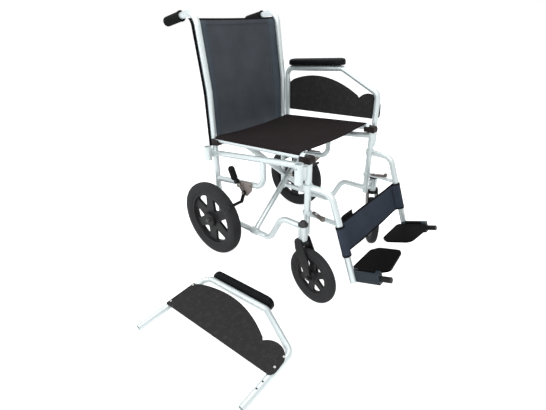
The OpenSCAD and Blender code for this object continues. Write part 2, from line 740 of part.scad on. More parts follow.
// Moulded hinge block beside the foot of the hanger tube, with the pin and a round toe stub
module footplate_hinge() {
    color("black") difference() {
        at_plate_hinge() {
            translate([-hinge_out, -hinge_len, -hinge_low])
                cube([hinge_out + ear_r, hinge_len + 2, hinge_low - ear_r - 1.7]);
            translate([-hinge_out, -hinge_len, -hinge_low])
                cube([hinge_out - ear_r - 1.5, hinge_len + 2, hinge_low + 6]);
            for (low = ear_places) {
                translate([0, low, 0]) rotate([-90, 0, 0]) cylinder(r = ear_r, h = ear_t);
                translate([-hinge_out, low, -hinge_low]) cube([hinge_out + ear_r, ear_t, hinge_low]);
            }
            translate([0, -hinge_len - 2, 0]) rotate([-90, 0, 0]) cylinder(d = hinge_pin_d, h = hinge_len);
            translate([-3, -hinge_len - stub_len, -hinge_low / 2]) rotate([-90, 0, 0])
                cylinder(d = 19, h = stub_len + 1);
        }
        side_plane(-post_x) bent_tube(hanger_path, d = tube_d + 2 * weld_gap, wall = tube_d);
    }
}

stub_len = 34;

latch_pin_y = front_post_y - 38;

module latch() {
    color("black") difference() {
        union() {
            translate([-post_x, latch_pin_y, latch_z + 2.5 + side_gap]) linear_extrude(6) {
                link([0, 0], [-16, -34], 13);
                link([0, 0], [4, 14], 11);
            }
            translate([-post_x - 16, latch_pin_y - 34, latch_z + 2.5 + side_gap]) cylinder(d = 13, h = 12);
        }
        translate([-post_x, latch_pin_y, latch_z]) cylinder(r = 3 + run_gap, h = 20);
    }
}

module latch_pin() {
    color("silver") translate([-post_x, latch_pin_y, latch_z + 2.5]) {
        cylinder(r = 3, h = 6 + 2 * side_gap);
        translate([0, 0, 6 + 2 * side_gap]) cylinder(r = 5, h = 2.5);
    }
}

// Footplate: sloped tread with a raised rim and ribs under it, and the knuckle on the pin
module footplate() {
    start = ear_r + 2;
    rear = 10;
    outline = rounded([[start, rear, 14], [start + plate_w - 22, rear, 16],
        [start + plate_w, rear - 24, 22], [start + plate_w - 6, rear - plate_len_in, 24],
        [start + 14, rear - plate_len_out, 20], [start, rear - plate_len_out + 26, 16]]);
    knuckle_low = -hinge_len + ear_t + 1;
    knuckle_high = -6 - ear_t - 1;
    color("black") at_plate_hinge() difference() {
        union() {
            translate([0, 0, -plate_t / 2]) linear_extrude(plate_t) polygon(outline);
            for (i = [0 : 4])
                translate([start + 16 + i * 26, rear - plate_len_in + 18, -plate_t / 2 - 4])
                    cube([3, plate_len_in - 40, 5]);
            translate([0, knuckle_low, 0]) rotate([-90, 0, 0]) cylinder(r = ear_r, h = knuckle_high - knuckle_low);
            translate([0, knuckle_low, -plate_t / 2]) cube([start + 4, knuckle_high - knuckle_low, plate_t]);
        }
        translate([0, knuckle_low - 1, 0]) rotate([-90, 0, 0])
            cylinder(r = hinge_pin_d / 2 + run_gap, h = knuckle_high - knuckle_low + 2);
    }
}

// Half of the calf strap: a loop round the hanger tube and a band to the middle
module calf_strap() {
    near = tube_r + soft_gap;
    wrap = near + strap_t;
    color("darkslategray") translate([-post_x, hanger_y(strap_top), strap_top])
        rotate([-hanger_slope, 0, 0]) translate([0, 0, -strap_h]) linear_extrude(strap_h) polygon([
            [-wrap, -near], [-near, -near], [-near, near], [post_x - soft_gap, near],
            [post_x - soft_gap, wrap], [-wrap, wrap]]);
}

// Seat cloth in cross section: a shallow sag between the rails, flat over them
module seat() {
    half = post_x + tube_r;
    low = tube_r + soft_gap;
    flat = post_x - tube_r;
    drop = [for (k = [-8 : 8]) [flat * k / 8, -seat_sag * (1 - pow(k / 8, 2))]];
    color("#2a2526") translate([0, rail_rear_end, rail_z(rail_rear_end)])
        rotate([90 - seat_slope, 0, 0]) linear_extrude(rail_rear_end - rail_front_end - saddle_len)
            polygon(concat([[-half, low]], [for (p = drop) p + [0, low]], [[half, low], [half, low + seat_cloth]],
                [for (i = [16 : -1 : 0]) drop[i] + [0, low + seat_cloth]], [[-half, low + seat_cloth]]));
}

// Back cloth: a band behind the rear posts that follows their lean
module back() {
    near = tube_r + soft_gap;
    far = near + back_cloth;
    lean = tan(lean_deg);
    half = tan(lean_deg / 2);
    rise = back_high_z - lean_z;
    handle_path = [for (i = [1 : 3]) back_post_path[i]];
    color("#43464d") difference() {
        side_plane(0) linear_extrude(post_spacing + tube_d + 12, center = true) polygon([
            [rear_post_y + near, back_low_z], [rear_post_y + near, lean_z - near * half],
            [rear_post_y + near + rise * lean, back_high_z], [rear_post_y + far + rise * lean, back_high_z],
            [rear_post_y + far, lean_z - far * half], [rear_post_y + far, back_low_z]]);
        for (side = [-1, 1]) side_plane(side * post_x)
            bent_tube(handle_path, d = tube_d + 2 * soft_gap - 0.1, wall = tube_d);
    }
}

rear_leg_low = rear_socket_top - rear_socket_len - leg_reach;
front_leg_low = front_socket_top - front_socket_len - leg_reach;
arm_path = [[rear_leg_y, rear_leg_low], [rear_leg_y, arm_rear_z], [arm_front_y, arm_front_z],
    [front_leg_y, arm_drop_z], [front_leg_y, front_leg_low]];
arm_bend = 30;
arm_slope = atan2(arm_front_z - arm_rear_z, rear_leg_y - arm_front_y);

// Armrest pieces are drawn in the upright plane through their legs, outer side to -X
module arm_frame() {
    color("silver") side_plane(0) difference() {
        bent_tube(arm_path, arm_bend);
        for (rise = [-15, 10]) translate([front_leg_y, front_socket_top + rise, -tube_r - 1])
            cylinder(d = 6, h = tube_r);
    }
}

module arm_pad() {
    middle = (rear_leg_y + arm_front_y) / 2 - 12;
    over = arm_rear_z + (rear_leg_y - middle) * tan(arm_slope) + (tube_r + soft_gap) / cos(arm_slope);
    color("black") translate([0, middle, over]) rotate([-arm_slope, 0, 0])
        hull() for (end = [-1, 1], level = [0, 1])
            translate([0, end * (pad_len - pad_w) / 2, level * (pad_t - 12)]) rotate_extrude($fn = 32)
                polygon(concat([[0, 0]], [for (a = [-90 : 30 : 90]) [pad_w / 2 - 6 + 6 * cos(a), 6 + 6 * sin(a)]],
                    [[0, 12]]));
}

// Guard outline: straight foot, arched top, notch and rounded front nose
module arm_guard() {
    inner = tube_r + side_gap;
    foot = front_socket_top + 15;
    outline = rounded([[rear_leg_y + 8, foot, 6], [rear_leg_y + 8, arm_rear_z - 50, 10],
        [rear_leg_y - 56, arm_rear_z - 28, 60], [rear_leg_y - 136, arm_rear_z - 24, 70],
        [rear_leg_y - 214, arm_rear_z - 36, 70], [rear_leg_y - 296, arm_rear_z - 66, 50],
        [front_leg_y + 88, arm_drop_z - 26, 10], [front_leg_y + 70, arm_drop_z - 4, 16],
        [front_leg_y + 34, arm_drop_z + 2, 26], [front_leg_y + 2, arm_drop_z - 12, 22],
        [front_leg_y - 10, arm_drop_z - 44, 14], [front_leg_y - 10, foot + 34, 8],
        [front_leg_y + 12, foot + 32, 4]], 4);
    color("#333030") side_plane(-inner - guard_t) difference() {
        linear_extrude(guard_t) polygon(outline);
        for (p = guard_screws) translate([p.x, p.y, -1]) cylinder(d = 4, h = guard_t + 2);
    }
    color("silver") for (p = guard_screws) side_plane(-inner - guard_t - 2)
        translate([p.x, p.y, 0]) {
            cylinder(d = 8, h = 2 - weld_gap);
            cylinder(d = 3.9, h = 2 + guard_t);
        }
}

guard_screws = [[rear_leg_y, arm_rear_z - 68], [rear_leg_y, front_socket_top + 31],
    [front_leg_y, arm_drop_z - 30], [front_leg_y, front_socket_top + 60]];

module installed() { translate([-socket_x, 0, 0]) children(); }

// Lays an armrest on the floor with its outer side up, resting on its leg ends and pad edge
lay_tilt = asin((pad_w / 2 - tube_r) / (arm_rear_z + tube_r - rear_leg_low));
lay_skew = atan2(front_leg_low - rear_leg_low, rear_leg_y - front_leg_y);
module laid() {
    translate([loose_arm_x, loose_arm_y + rear_leg_y, tube_r]) rotate([0, 0, loose_arm_turn])
        rotate([0, 0, lay_skew]) rotate([0, -lay_tilt, 0]) rotate([0, 0, -lay_skew])
        rotate([0, 90, 0]) translate([0, -rear_leg_y, -rear_leg_low]) children();
}

placed() back_post();  // right_back_post
placed() front_post();  // right_front_post
placed() upper_rail();  // right_upper_rail
placed() lower_rail();  // right_lower_rail
placed() brake_rail();  // right_brake_rail
placed() caster_housing();  // right_caster_housing
placed() arm_sockets();  // right_arm_sockets
placed() saddles();  // right_saddles
placed() grip();  // right_grip
placed() rear_axle();  // right_rear_axle
placed() rear_tyre();  // right_rear_tyre
placed() rear_wheel();  // right_rear_wheel
placed() caster_fork(right_caster_turn);  // right_caster_fork
placed() caster_tyre(right_caster_turn);  // right_caster_tyre
placed() caster_wheel(right_caster_turn);  // right_caster_wheel
placed() brake_bracket();  // right_brake_bracket
placed() brake_lever();  // right_brake_lever
placed() brake_shoe();  // right_brake_shoe
placed() { hanger(); latch_pin(); }  // right_hanger
placed() footplate_hinge();  // right_footplate_hinge
placed() latch();  // right_latch
placed() footplate();  // right_footplate
placed() calf_strap();  // right_calf_strap
placed() mirrored() back_post();  // left_back_post
placed() mirrored() front_post();  // left_front_post
placed() mirrored() upper_rail();  // left_upper_rail
placed() mirrored() lower_rail();  // left_lower_rail
placed() mirrored() brake_rail();  // left_brake_rail
placed() mirrored() caster_housing();  // left_caster_housing
placed() mirrored() arm_sockets();  // left_arm_sockets
placed() mirrored() saddles();  // left_saddles
placed() mirrored() grip();  // left_grip
placed() mirrored() rear_axle();  // left_rear_axle
placed() mirrored() rear_tyre();  // left_rear_tyre
placed() mirrored() rear_wheel();  // left_rear_wheel
placed() mirrored() caster_fork(left_caster_turn);  // left_caster_fork
placed() mirrored() caster_tyre(left_caster_turn);  // left_caster_tyre
placed() mirrored() caster_wheel(left_caster_turn);  // left_caster_wheel
placed() mirrored() brake_bracket();  // left_brake_bracket
placed() mirrored() brake_lever();  // left_brake_lever
placed() mirrored() brake_shoe();  // left_brake_shoe
placed() mirrored() { hanger(); latch_pin(); }  // left_hanger
placed() mirrored() footplate_hinge();  // left_footplate_hinge
placed() mirrored() latch();  // left_latch
placed() mirrored() footplate();  // left_footplate
placed() mirrored() calf_strap();  // left_calf_strap
placed() brace_arm(brace_y);  // front_brace_arm
placed() mirrored() brace_arm(brace_y + brace_step);  // rear_brace_arm
placed() brace_bolt();
placed() mirrored() seat_rail();  // left_seat_rail
placed() seat_rail();  // right_seat_rail
placed() seat();
placed() back();
placed() mirrored() installed() arm_frame();  // left_arm_frame
placed() mirrored() installed() arm_pad();  // left_arm_pad
placed() mirrored() installed() arm_guard();  // left_arm_guard
placed() laid() arm_frame();  // right_arm_frame
placed() laid() arm_pad();  // right_arm_pad
placed() laid() arm_guard();  // right_arm_guard
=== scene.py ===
"""Studio scene of a folding transport wheelchair: finishes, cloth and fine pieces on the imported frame."""
from __future__ import annotations

import json
import logging
import math
from dataclasses import dataclass, field
from enum import Enum
from typing import Callable, Iterable, Sequence

import bmesh
import bpy
from mathutils import Matrix, Vector


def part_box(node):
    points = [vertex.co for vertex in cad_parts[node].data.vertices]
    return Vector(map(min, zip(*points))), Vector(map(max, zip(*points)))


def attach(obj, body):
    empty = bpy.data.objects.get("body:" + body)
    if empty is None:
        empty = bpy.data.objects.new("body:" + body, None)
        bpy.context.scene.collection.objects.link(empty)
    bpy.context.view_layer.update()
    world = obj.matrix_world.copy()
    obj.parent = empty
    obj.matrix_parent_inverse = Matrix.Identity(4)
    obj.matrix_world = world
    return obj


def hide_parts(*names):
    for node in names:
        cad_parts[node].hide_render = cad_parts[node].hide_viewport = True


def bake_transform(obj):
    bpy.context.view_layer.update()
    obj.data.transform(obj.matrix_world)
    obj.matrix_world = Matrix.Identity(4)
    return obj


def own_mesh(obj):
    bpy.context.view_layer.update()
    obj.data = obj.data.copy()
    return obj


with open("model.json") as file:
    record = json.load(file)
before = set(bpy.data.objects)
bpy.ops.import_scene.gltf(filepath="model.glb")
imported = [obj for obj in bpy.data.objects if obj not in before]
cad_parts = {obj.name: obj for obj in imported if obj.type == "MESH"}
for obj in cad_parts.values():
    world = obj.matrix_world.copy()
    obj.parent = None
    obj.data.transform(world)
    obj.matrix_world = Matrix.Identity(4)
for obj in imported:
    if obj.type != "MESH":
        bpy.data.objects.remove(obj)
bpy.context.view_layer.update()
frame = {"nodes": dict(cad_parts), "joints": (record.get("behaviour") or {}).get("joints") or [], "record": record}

logging.basicConfig(level=logging.INFO, format="%(name)s: %(message)s")
log = logging.getLogger("wheelchair")

Colour = tuple[float, float, float]
Point = tuple[float, float]
Mesh = tuple[list[Vector], list[list[int]]]
Piece = bpy.types.Object
Socket = bpy.types.NodeSocket

MM = 0.001
PHOTO_WIDTH_PX = 546
SENSOR_MM = 36.0
FRONT_POST_MM = 225.0
REAR_POST_MM = 223.0
TUBE_MM = 11.0  # radius of the frame's tubes
BRAKE_KNEE: Point = (86.0, 338.0)
BRAKE_TILT = 67.0
CROSSWISE = Vector((1, 0, 0))
UPWARD = Vector((0, 0, 1))


class Side(Enum):
    """A side of the chair, as the seated person has it; the value is the sign of X."""

    RIGHT = -1
    LEFT = 1

    @property
    def word(self) -> str:
        """Name of the side as the CAD nodes and bodies spell it."""
        return self.name.lower()


class Axis(Enum):
    """Pair of object axes that a weave runs along."""

    XZ = (0, 2)
    XY = (0, 1)


@dataclass(frozen=True)
class Datum:
    """Places the chair's own millimetres in the row frame.

    The chair's own origin is on the floor, midway between the side frames and 225 mm behind the
    front posts. The first two fields are in metres, the posts' distance from the middle in millimetres.
    """

    middle_x: float
    seat_y: float
    post_x: float

    @classmethod
    def measured(cls) -> "Datum":
        """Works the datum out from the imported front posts."""
        right_low, right_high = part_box("right_front_post")
        left_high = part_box("left_front_post")[1]
        middle = (right_low.x + left_high.x) / 2
        seat_y = (right_low.y + right_high.y) / 2 + FRONT_POST_MM * MM
        return cls(middle, seat_y, (left_high.x - right_low.x) / 2 / MM - TUBE_MM)

    def at(self, x: float, y: float, z: float) -> Vector:
        """Row-frame point of a place given in the chair's millimetres: left, rear and up."""
        return Vector((self.middle_x + x * MM, self.seat_y + y * MM, z * MM))


def smooth_step(low: float, high: float, value: float) -> float:
    """Rises smoothly from 0 at low to 1 at high."""
    t = min(max((value - low) / (high - low), 0.0), 1.0)
    return t * t * (3 - 2 * t)


def lean(degrees: float) -> Vector:
    """Unit vector in the side view, turned up by an angle from straight back."""
    angle = math.radians(degrees)
    return Vector((0, math.cos(angle), math.sin(angle)))


def circle(centre: Vector, first: Vector, second: Vector, count: int) -> list[Vector]:
    """Points round a centre, from the tip of the first radius towards that of the second."""
    turns = (math.tau * k / count for k in range(count))
    return [centre + first * math.cos(t) + second * math.sin(t) for t in turns]


def skin(rings: Sequence[Sequence[Vector]], closed: bool = False) -> Mesh:
    """Skins a row of closed rings with equal numbers of points.

    Args:
        rings: Rings of points in order along the piece.
        closed: Whether the last ring joins the first; otherwise both ends are capped.

    Returns:
        The points and the faces.
    """
    around, last = len(rings[0]), len(rings) - 1
    faces: list[list[int]] = []
    for i in range(len(rings) if closed else last):
        a, b = i * around, (i + 1) % len(rings) * around
        for k in range(around):
            m = (k + 1) % around
            faces.append([a + k, a + m, b + m, b + k])
    if not closed:
        faces += [list(range(around))[::-1], [last * around + k for k in range(around)]]
    return [p for ring in rings for p in ring], faces


def merged(parts: Iterable[Mesh]) -> Mesh:
    """Lists the points and faces of several meshes as those of one."""
    points: list[Vector] = []
    faces: list[list[int]] = []
    for more, sides in parts:
        faces += [[len(points) + i for i in side] for side in sides]
        points += more
    return points, faces


def mesh_piece(name: str, points: Sequence[Vector], faces: Sequence[Sequence[int]]) -> Piece:
    """Links a smooth-shaded mesh object, its points given in metres in the row frame."""
    mesh = bpy.data.meshes.new(name)
    mesh.from_pydata([tuple(p) for p in points], [], [tuple(f) for f in faces])
    mesh.validate()
    mesh.update()
    for polygon in mesh.polygons:
        polygon.use_smooth = True
    piece = bpy.data.objects.new(name, mesh)
    bpy.context.scene.collection.objects.link(piece)
    return piece


def faced(piece: Piece) -> Piece:
    """Turns all faces of a closed piece outwards and returns it."""
    work = bmesh.new()
    work.from_mesh(piece.data)
    bmesh.ops.recalc_face_normals(work, faces=work.faces)
    work.to_mesh(piece.data)
    work.free()
    return piece


def loft(name: str, rings: Sequence[Sequence[Vector]], closed: bool = False) -> Piece:
    """Makes a piece of the skin over a row of rings."""
    return faced(mesh_piece(name, *skin(rings, closed)))


def joined(name: str, pieces: Sequence[Piece]) -> Piece:
    """Makes one object of several, which are used up."""
    parts = [([v.co.copy() for v in piece.data.vertices], [list(p.vertices) for p in piece.data.polygons])
             for piece in pieces]
    for piece in pieces:
        bpy.data.objects.remove(piece)
    return mesh_piece(name, *merged(parts))


def subdivided(piece: Piece) -> Piece:
    """Smooths a piece with one subdivision and keeps the result as its mesh."""
    modifier = piece.modifiers.new("round", "SUBSURF")
    modifier.levels = modifier.render_levels = 1
    graph = bpy.context.evaluated_depsgraph_get()
    mesh = bpy.data.meshes.new_from_object(piece.evaluated_get(graph), depsgraph=graph)
    piece.modifiers.clear()
    old = piece.data
    piece.data = mesh
    mesh.name = piece.name
    bpy.data.meshes.remove(old)
    return piece


class Graph:
    """Short way to write a shader node tree."""

    def __init__(self, tree: bpy.types.NodeTree) -> None:
        """Starts with an existing tree."""
        self.tree = tree

    @classmethod
    def blank(cls, owner: bpy.types.Material | bpy.types.World) -> "Graph":
        """Starts with the emptied node tree of a material or world."""
        owner.use_nodes = True
        owner.node_tree.nodes.clear()
        return cls(owner.node_tree)

    def feed(self, socket: Socket, value: object) -> None:
        """Links a socket to another, or sets its plain value; a colour may leave out its alpha."""
        if isinstance(value, bpy.types.NodeSocket):
            self.tree.links.new(value, socket)
        elif socket.type == "RGBA" and len(value) == 3:
            socket.default_value = (*value, 1.0)
        else:
            socket.default_value = value

    def node(self, kind: str, inputs: dict[str | int, object] | None = None,
             **settings: object) -> bpy.types.Node:
        """Adds a node.

        Args:
            kind: Blender's name of the kind of node.
            inputs: Values or sockets by the name or number of the input.
            **settings: Properties of the node.

        Returns:
            The node.
        """
        made = self.tree.nodes.new(kind)
        for key, value in settings.items():
            setattr(made, key, value)
        for key, value in (inputs or {}).items():
            self.feed(made.inputs[key], value)
        return made

    def math(self, operation: str, *values: object) -> Socket:
        """Adds a math node of numbers or sockets and returns its result."""
        return self.node("ShaderNodeMath", dict(enumerate(values)), operation=operation).outputs[0]

    def ramp(self, base: float, value: object, gain: float) -> Socket:
        """Adds a share of a value to a base."""
        return self.math("ADD", base, self.math("MULTIPLY", value, gain))

    def mix(self, share: object, low: object, high: object) -> Socket:
        """Blends two colours by a share."""
        made = self.node("ShaderNodeMix", {"Factor": share}, data_type="RGBA")
        for socket, value in zip([s for s in made.inputs if s.type == "RGBA"], (low, high)):
            self.feed(socket, value)
        return next(s for s in made.outputs if s.type == "RGBA")

    def noise(self, where: object, scale: object, detail: float = 2.0, roughness: float = 0.5) -> Socket:
        """Adds a noise of a scale per metre and returns its value."""
        inputs = {"Vector": where, "Scale": scale, "Detail": detail, "Roughness": roughness}
        return self.node("ShaderNodeTexNoise", inputs).outputs[0]

    def bump(self, height: Socket, strength: float, distance: float) -> Socket:
        """Makes a normal of a height, whose full step is a distance in metres."""
        inputs = {"Strength": strength, "Distance": distance, "Height": height}
        return self.node("ShaderNodeBump", inputs).outputs[0]


def node_group(name: str, inputs: dict[str, float | None],
               outputs: Sequence[str]) -> tuple[Graph, object, object]:
    """Starts a shader node group.

    Args:
        name: Name of the group.
        inputs: Default value of each number that goes in; None stands for a vector.
        outputs: Name of each number that comes out.

    Returns:
        A graph to write the group with, the sockets of its inputs and those of its outputs.
    """
    tree = bpy.data.node_groups.new(name, "ShaderNodeTree")
    for label, default in inputs.items():
        kind = "NodeSocketVector" if default is None else "NodeSocketFloat"
        socket = tree.interface.new_socket(label, in_out="INPUT", socket_type=kind)
        if default is not None:
            socket.default_value = default
    for label in outputs:
        tree.interface.new_socket(label, in_out="OUTPUT", socket_type="NodeSocketFloat")
    g = Graph(tree)
    return g, g.node("NodeGroupInput").outputs, g.node("NodeGroupOutput").inputs


def weave_group() -> bpy.types.NodeTree:
    """Plain weave: warp and weft threads that pass over each other in turn."""
    inputs = {"Across": 0.0, "Along": 0.0, "Pitch": 0.0015}
    g, given, result = node_group("PlainWeave", inputs, ("Height", "Gap"))
    u, v = (g.math("DIVIDE", given[way], given["Pitch"]) for way in ("Across", "Along"))
    warp, weft = (g.math("ABSOLUTE", g.math("SINE", g.math("MULTIPLY", way, math.pi))) for way in (u, v))
    turn = g.math("PINGPONG", g.math("ADD", g.math("FLOOR", u), g.math("FLOOR", v)), 1.0)
    over = g.math("MULTIPLY", warp, g.ramp(0.55, turn, 0.45))
    under = g.math("MULTIPLY", weft, g.math("SUBTRACT", 1.0, g.math("MULTIPLY", turn, 0.45)))
    height = g.math("MAXIMUM", over, under)
    g.feed(result["Height"], height)
    g.feed(result["Gap"], g.math("SUBTRACT", 1.0, height))
    return g.tree


def scuff_group() -> bpy.types.NodeTree:
    """Fine wear: broken patches and short scratches."""
    g, given, result = node_group("Scuffs", {"Where": None, "Scale": 60.0, "Amount": 0.3}, ("Mask",))
    patches = g.noise(given["Where"], given["Scale"], 6.0, 0.7)
    fine = g.noise(given["Where"], g.math("MULTIPLY", given["Scale"], 9.0))
    edge = g.node("ShaderNodeMapRange", {"Value": g.math("MULTIPLY", patches, fine), "From Min": 0.26,
                                         "From Max": 0.42})
    g.feed(result["Mask"], g.math("MULTIPLY", edge.outputs[0], given["Amount"]))
    return g.tree


def grain_group() -> bpy.types.NodeTree:
    """Moulded or sprayed grain: fine pebbles over a soft waviness."""
    g, given, result = node_group("Grain", {"Where": None, "Scale": 900.0}, ("Height", "Tone"))
    pebbles = g.node("ShaderNodeTexVoronoi", {"Vector": given["Where"], "Scale": given["Scale"]})
    wave = g.noise(given["Where"], g.math("MULTIPLY", given["Scale"], 0.03))
    g.feed(result["Height"], g.math("ADD", g.math("MULTIPLY", pebbles.outputs["Distance"], 0.6), wave))
    g.feed(result["Tone"], wave)
    return g.tree


class Effects:
    """The shader node groups that the finishes share, each built once."""

    made: dict[str, bpy.types.NodeTree] = {}
    makers: dict[str, Callable[[], bpy.types.NodeTree]] = {
        "weave": weave_group, "scuffs": scuff_group, "grain": grain_group}

    @classmethod
    def place(cls, graph: Graph, effect: str, **inputs: object) -> object:
        """Places a group in a material.

        Args:
            graph: Graph of the material.
            effect: Which effect to place.
            **inputs: Values or sockets, by input name.

        Returns:
            The outputs of the group node.
        """
        if effect not in cls.made:
            cls.made[effect] = cls.makers[effect]()
        return graph.node("ShaderNodeGroup", inputs, node_tree=cls.made[effect]).outputs


@dataclass(frozen=True)
class Finish:
    """A finish that a material is made from; each kind of surface refines it."""

    name: str
    colour: Colour
    specular: float = field(default=0.5, kw_only=True)

    def material(self) -> bpy.types.Material:
        """Builds the material once and returns it after that."""
        title = f"{self.name}_finish"
        found = bpy.data.materials.get(title)
        if found:
            return found
        made = bpy.data.materials.new(title)
        graph = Graph.blank(made)
        where = graph.node("ShaderNodeTexCoord").outputs["Object"]
        inputs = {"Specular IOR Level": self.specular, **self.dress(graph, where)}
        shader = graph.node("ShaderNodeBsdfPrincipled", inputs)
        graph.node("ShaderNodeOutputMaterial", {"Surface": shader.outputs[0]})
        made.diffuse_color = (*self.colour, 1.0)
        return made

    def shade(self, share: float, lift: float = 0.0) -> Colour:
        """The finish's colour times a share, plus a lift."""
        return tuple(min(c * share + lift, 1.0) for c in self.colour)

    def dress(self, graph: Graph, where: Socket) -> dict[str, object]:
        """Values for the shader's inputs by name; each kind of finish has its own."""
        return {"Base Color": self.colour}


@dataclass(frozen=True)
class PowderCoat(Finish):
    """Smooth silver powder coat with a fine orange peel and rubbed patches."""

    def dress(self, graph: Graph, where: Socket) -> dict[str, object]:
        """Metallic paint under a thin clear coat."""
        grain = Effects.place(graph, "grain", Where=where, Scale=1400.0)
        scuffs = Effects.place(graph, "scuffs", Where=where, Scale=45.0, Amount=0.35)["Mask"]
        paint = graph.mix(grain["Tone"], self.colour, self.shade(0.93))
        return {"Base Color": graph.mix(scuffs, paint, self.shade(0.8)),
                "Roughness": graph.ramp(0.3, scuffs, 0.3), "Metallic": 0.35,
                "Coat Weight": 0.35, "Coat Roughness": 0.12,
                "Normal": graph.bump(grain["Height"], 0.12, 0.0002)}


@dataclass(frozen=True)
class Steel(Finish):
    """Zinc-plated steel with drawn streaks."""

    roughness: float = 0.3
    rust: Colour = (0.18, 0.13, 0.1)

    def dress(self, graph: Graph, where: Socket) -> dict[str, object]:
        """Bare metal with uneven plating."""
        streaks = graph.noise(where, 260.0, 4.0)
        scuffs = Effects.place(graph, "scuffs", Where=where, Scale=80.0, Amount=0.6)["Mask"]
        plating = graph.mix(streaks, self.colour, self.shade(0.72))
        return {"Base Color": graph.mix(scuffs, plating, self.rust),
                "Roughness": graph.ramp(self.roughness, streaks, 0.2), "Metallic": 0.9,
                "Normal": graph.bump(streaks, 0.15, 0.0003)}


@dataclass(frozen=True)
class Moulded(Finish):
    """Moulded plastic with a pebbled skin."""

    roughness: float = 0.42
    grain: float = 900.0
    relief: float = 0.25
    scuffed: float = 0.5

    def dress(self, graph: Graph, where: Socket) -> dict[str, object]:
        """Dark plastic whose skin is polished and greyed by use."""
        grain = Effects.place(graph, "grain", Where=where, Scale=self.grain)
        scuffs = Effects.place(graph, "scuffs", Where=where, Scale=55.0, Amount=self.scuffed)["Mask"]
        skin_tone = graph.mix(grain["Tone"], self.shade(0.85), self.colour)
        return {"Base Color": graph.mix(scuffs, skin_tone, self.shade(1.9, 0.02)),
                "Roughness": graph.ramp(self.roughness, grain["Tone"], 0.12),
                "Normal": graph.bump(grain["Height"], self.relief, 0.0003)}


@dataclass(frozen=True)
class Rubber(Finish):
    """Solid tyre rubber, matt, with a dusty bloom."""

    def dress(self, graph: Graph, where: Socket) -> dict[str, object]:
        """Matt rubber with a pale bloom in patches."""
        grain = Effects.place(graph, "grain", Where=where, Scale=700.0)
        bloom = graph.noise(where, 22.0, 5.0)
        return {"Base Color": graph.mix(bloom, self.colour, self.shade(1.6, 0.012)),
                "Roughness": graph.ramp(0.62, bloom, 0.25),
                "Normal": graph.bump(grain["Height"], 0.3, 0.0003)}


@dataclass(frozen=True)
class WovenNylon(Finish):
    """Coated nylon cloth in plain weave."""

    axes: Axis = Axis.XZ
    pitch: float = 0.0016
    sheen: float = 0.0

    def dress(self, graph: Graph, where: Socket) -> dict[str, object]:
        """Threads with painted shade in the gaps between them, a soft mottle and a little sheen."""
        parts = graph.node("ShaderNodeSeparateXYZ", {0: where}).outputs
        across, along = (parts[i] for i in self.axes.value)
        weave = Effects.place(graph, "weave", Across=across, Along=along, Pitch=self.pitch)
        mottle = graph.noise(where, 14.0, 4.0)
        cloth = graph.mix(mottle, self.shade(0.72), self.shade(1.35))
        # Darkening the base colour in the gaps between threads is painted shade.
        gap = graph.math("MULTIPLY", weave["Gap"], 0.55)
        return {"Base Color": graph.mix(gap, cloth, self.shade(0.35)),
                "Roughness": graph.ramp(0.68, mottle, 0.18),
                "Sheen Weight": self.sheen, "Sheen Roughness": 0.45,
                "Normal": graph.bump(weave["Height"], 0.45, 0.0004)}


@dataclass(frozen=True)
class TwoTone(Finish):
    """Painted or bare metal below a plane, black moulding beyond it, for a node of two materials."""

    beyond: Colour
    normal: Vector
    place: float
    metallic: float = 0.35

    def dress(self, graph: Graph, where: Socket) -> dict[str, object]:
        """Splits the surface at a plane in the part's own coordinates."""
        reach = graph.node("ShaderNodeVectorMath", {0: where, 1: tuple(self.normal)}, operation="DOT_PRODUCT")
        past = graph.math("GREATER_THAN", reach.outputs["Value"], self.place)
        grain = Effects.place(graph, "grain", Where=where, Scale=1000.0)
        tint = graph.mix(grain["Tone"], self.shade(0.9), self.colour)
        return {"Base Color": graph.mix(past, tint, self.beyond),
                "Roughness": graph.ramp(0.3, past, 0.18),
                "Metallic": graph.math("MULTIPLY", graph.math("SUBTRACT", 1.0, past), self.metallic),
                "Normal": graph.bump(grain["Height"], 0.15, 0.0003)}


SILVER: Colour = (0.68, 0.75, 0.755)
JET: Colour = (0.008, 0.008, 0.009)
NAVY_GREY: Colour = (0.080, 0.088, 0.101)
HEM_TEAL: Colour = (0.088, 0.107, 0.128)
BROWN_BLACK: Colour = (0.021, 0.0172, 0.0177)
STRAP_BLUE: Colour = (0.046, 0.057, 0.079)
BRAKE_GREY: Colour = (0.30, 0.265, 0.245)
# Blue-grey of the footplate hinge blocks: a painted reflection over black plastic.
HINGE_REFLECTION_BLUE: Colour = (0.021, 0.031, 0.040)
ZINC: Colour = (0.62, 0.61, 0.59)

FRAME_COAT = PowderCoat("silver_powder_coat", SILVER)
PLATED = Steel("zinc_plated_steel", ZINC)
BRAKE_STEEL = Steel("brake_plate_steel", BRAKE_GREY, roughness=0.34)
LATCH_STEEL = Steel("latch_lever_steel", (0.17, 0.15, 0.14), roughness=0.38)
BLACK_STEEL = Moulded("black_enamelled_steel", JET, roughness=0.36, grain=600.0, relief=0.1, specular=0.15)
TYRE_RUBBER = Rubber("tyre_rubber", (0.020, 0.020, 0.021), specular=0.1)
WHEEL_NYLON = Moulded("wheel_nylon", (0.012, 0.012, 0.013), roughness=0.42, specular=0.14)
FORK_NYLON = Moulded("fork_nylon", (0.009, 0.009, 0.010), roughness=0.3, grain=500.0, relief=0.12,
                     specular=0.2)
GRIP_RUBBER = Moulded("grip_rubber", (0.010, 0.0105, 0.0105), roughness=0.55, scuffed=0.25,
                      specular=0.04)
PAD_FOAM = Moulded("pad_foam_skin", (0.0045, 0.005, 0.006), roughness=0.4, grain=420.0, relief=0.35,
                   scuffed=0.1, specular=0.09)
GUARD_SHEET = Moulded("guard_sheet", (0.031, 0.0298, 0.0303), roughness=0.55, grain=650.0, specular=0.06)
FOOT_PLASTIC = Moulded("foot_plastic", (0.0045, 0.004, 0.004), roughness=0.5, scuffed=0.08, specular=0.02)
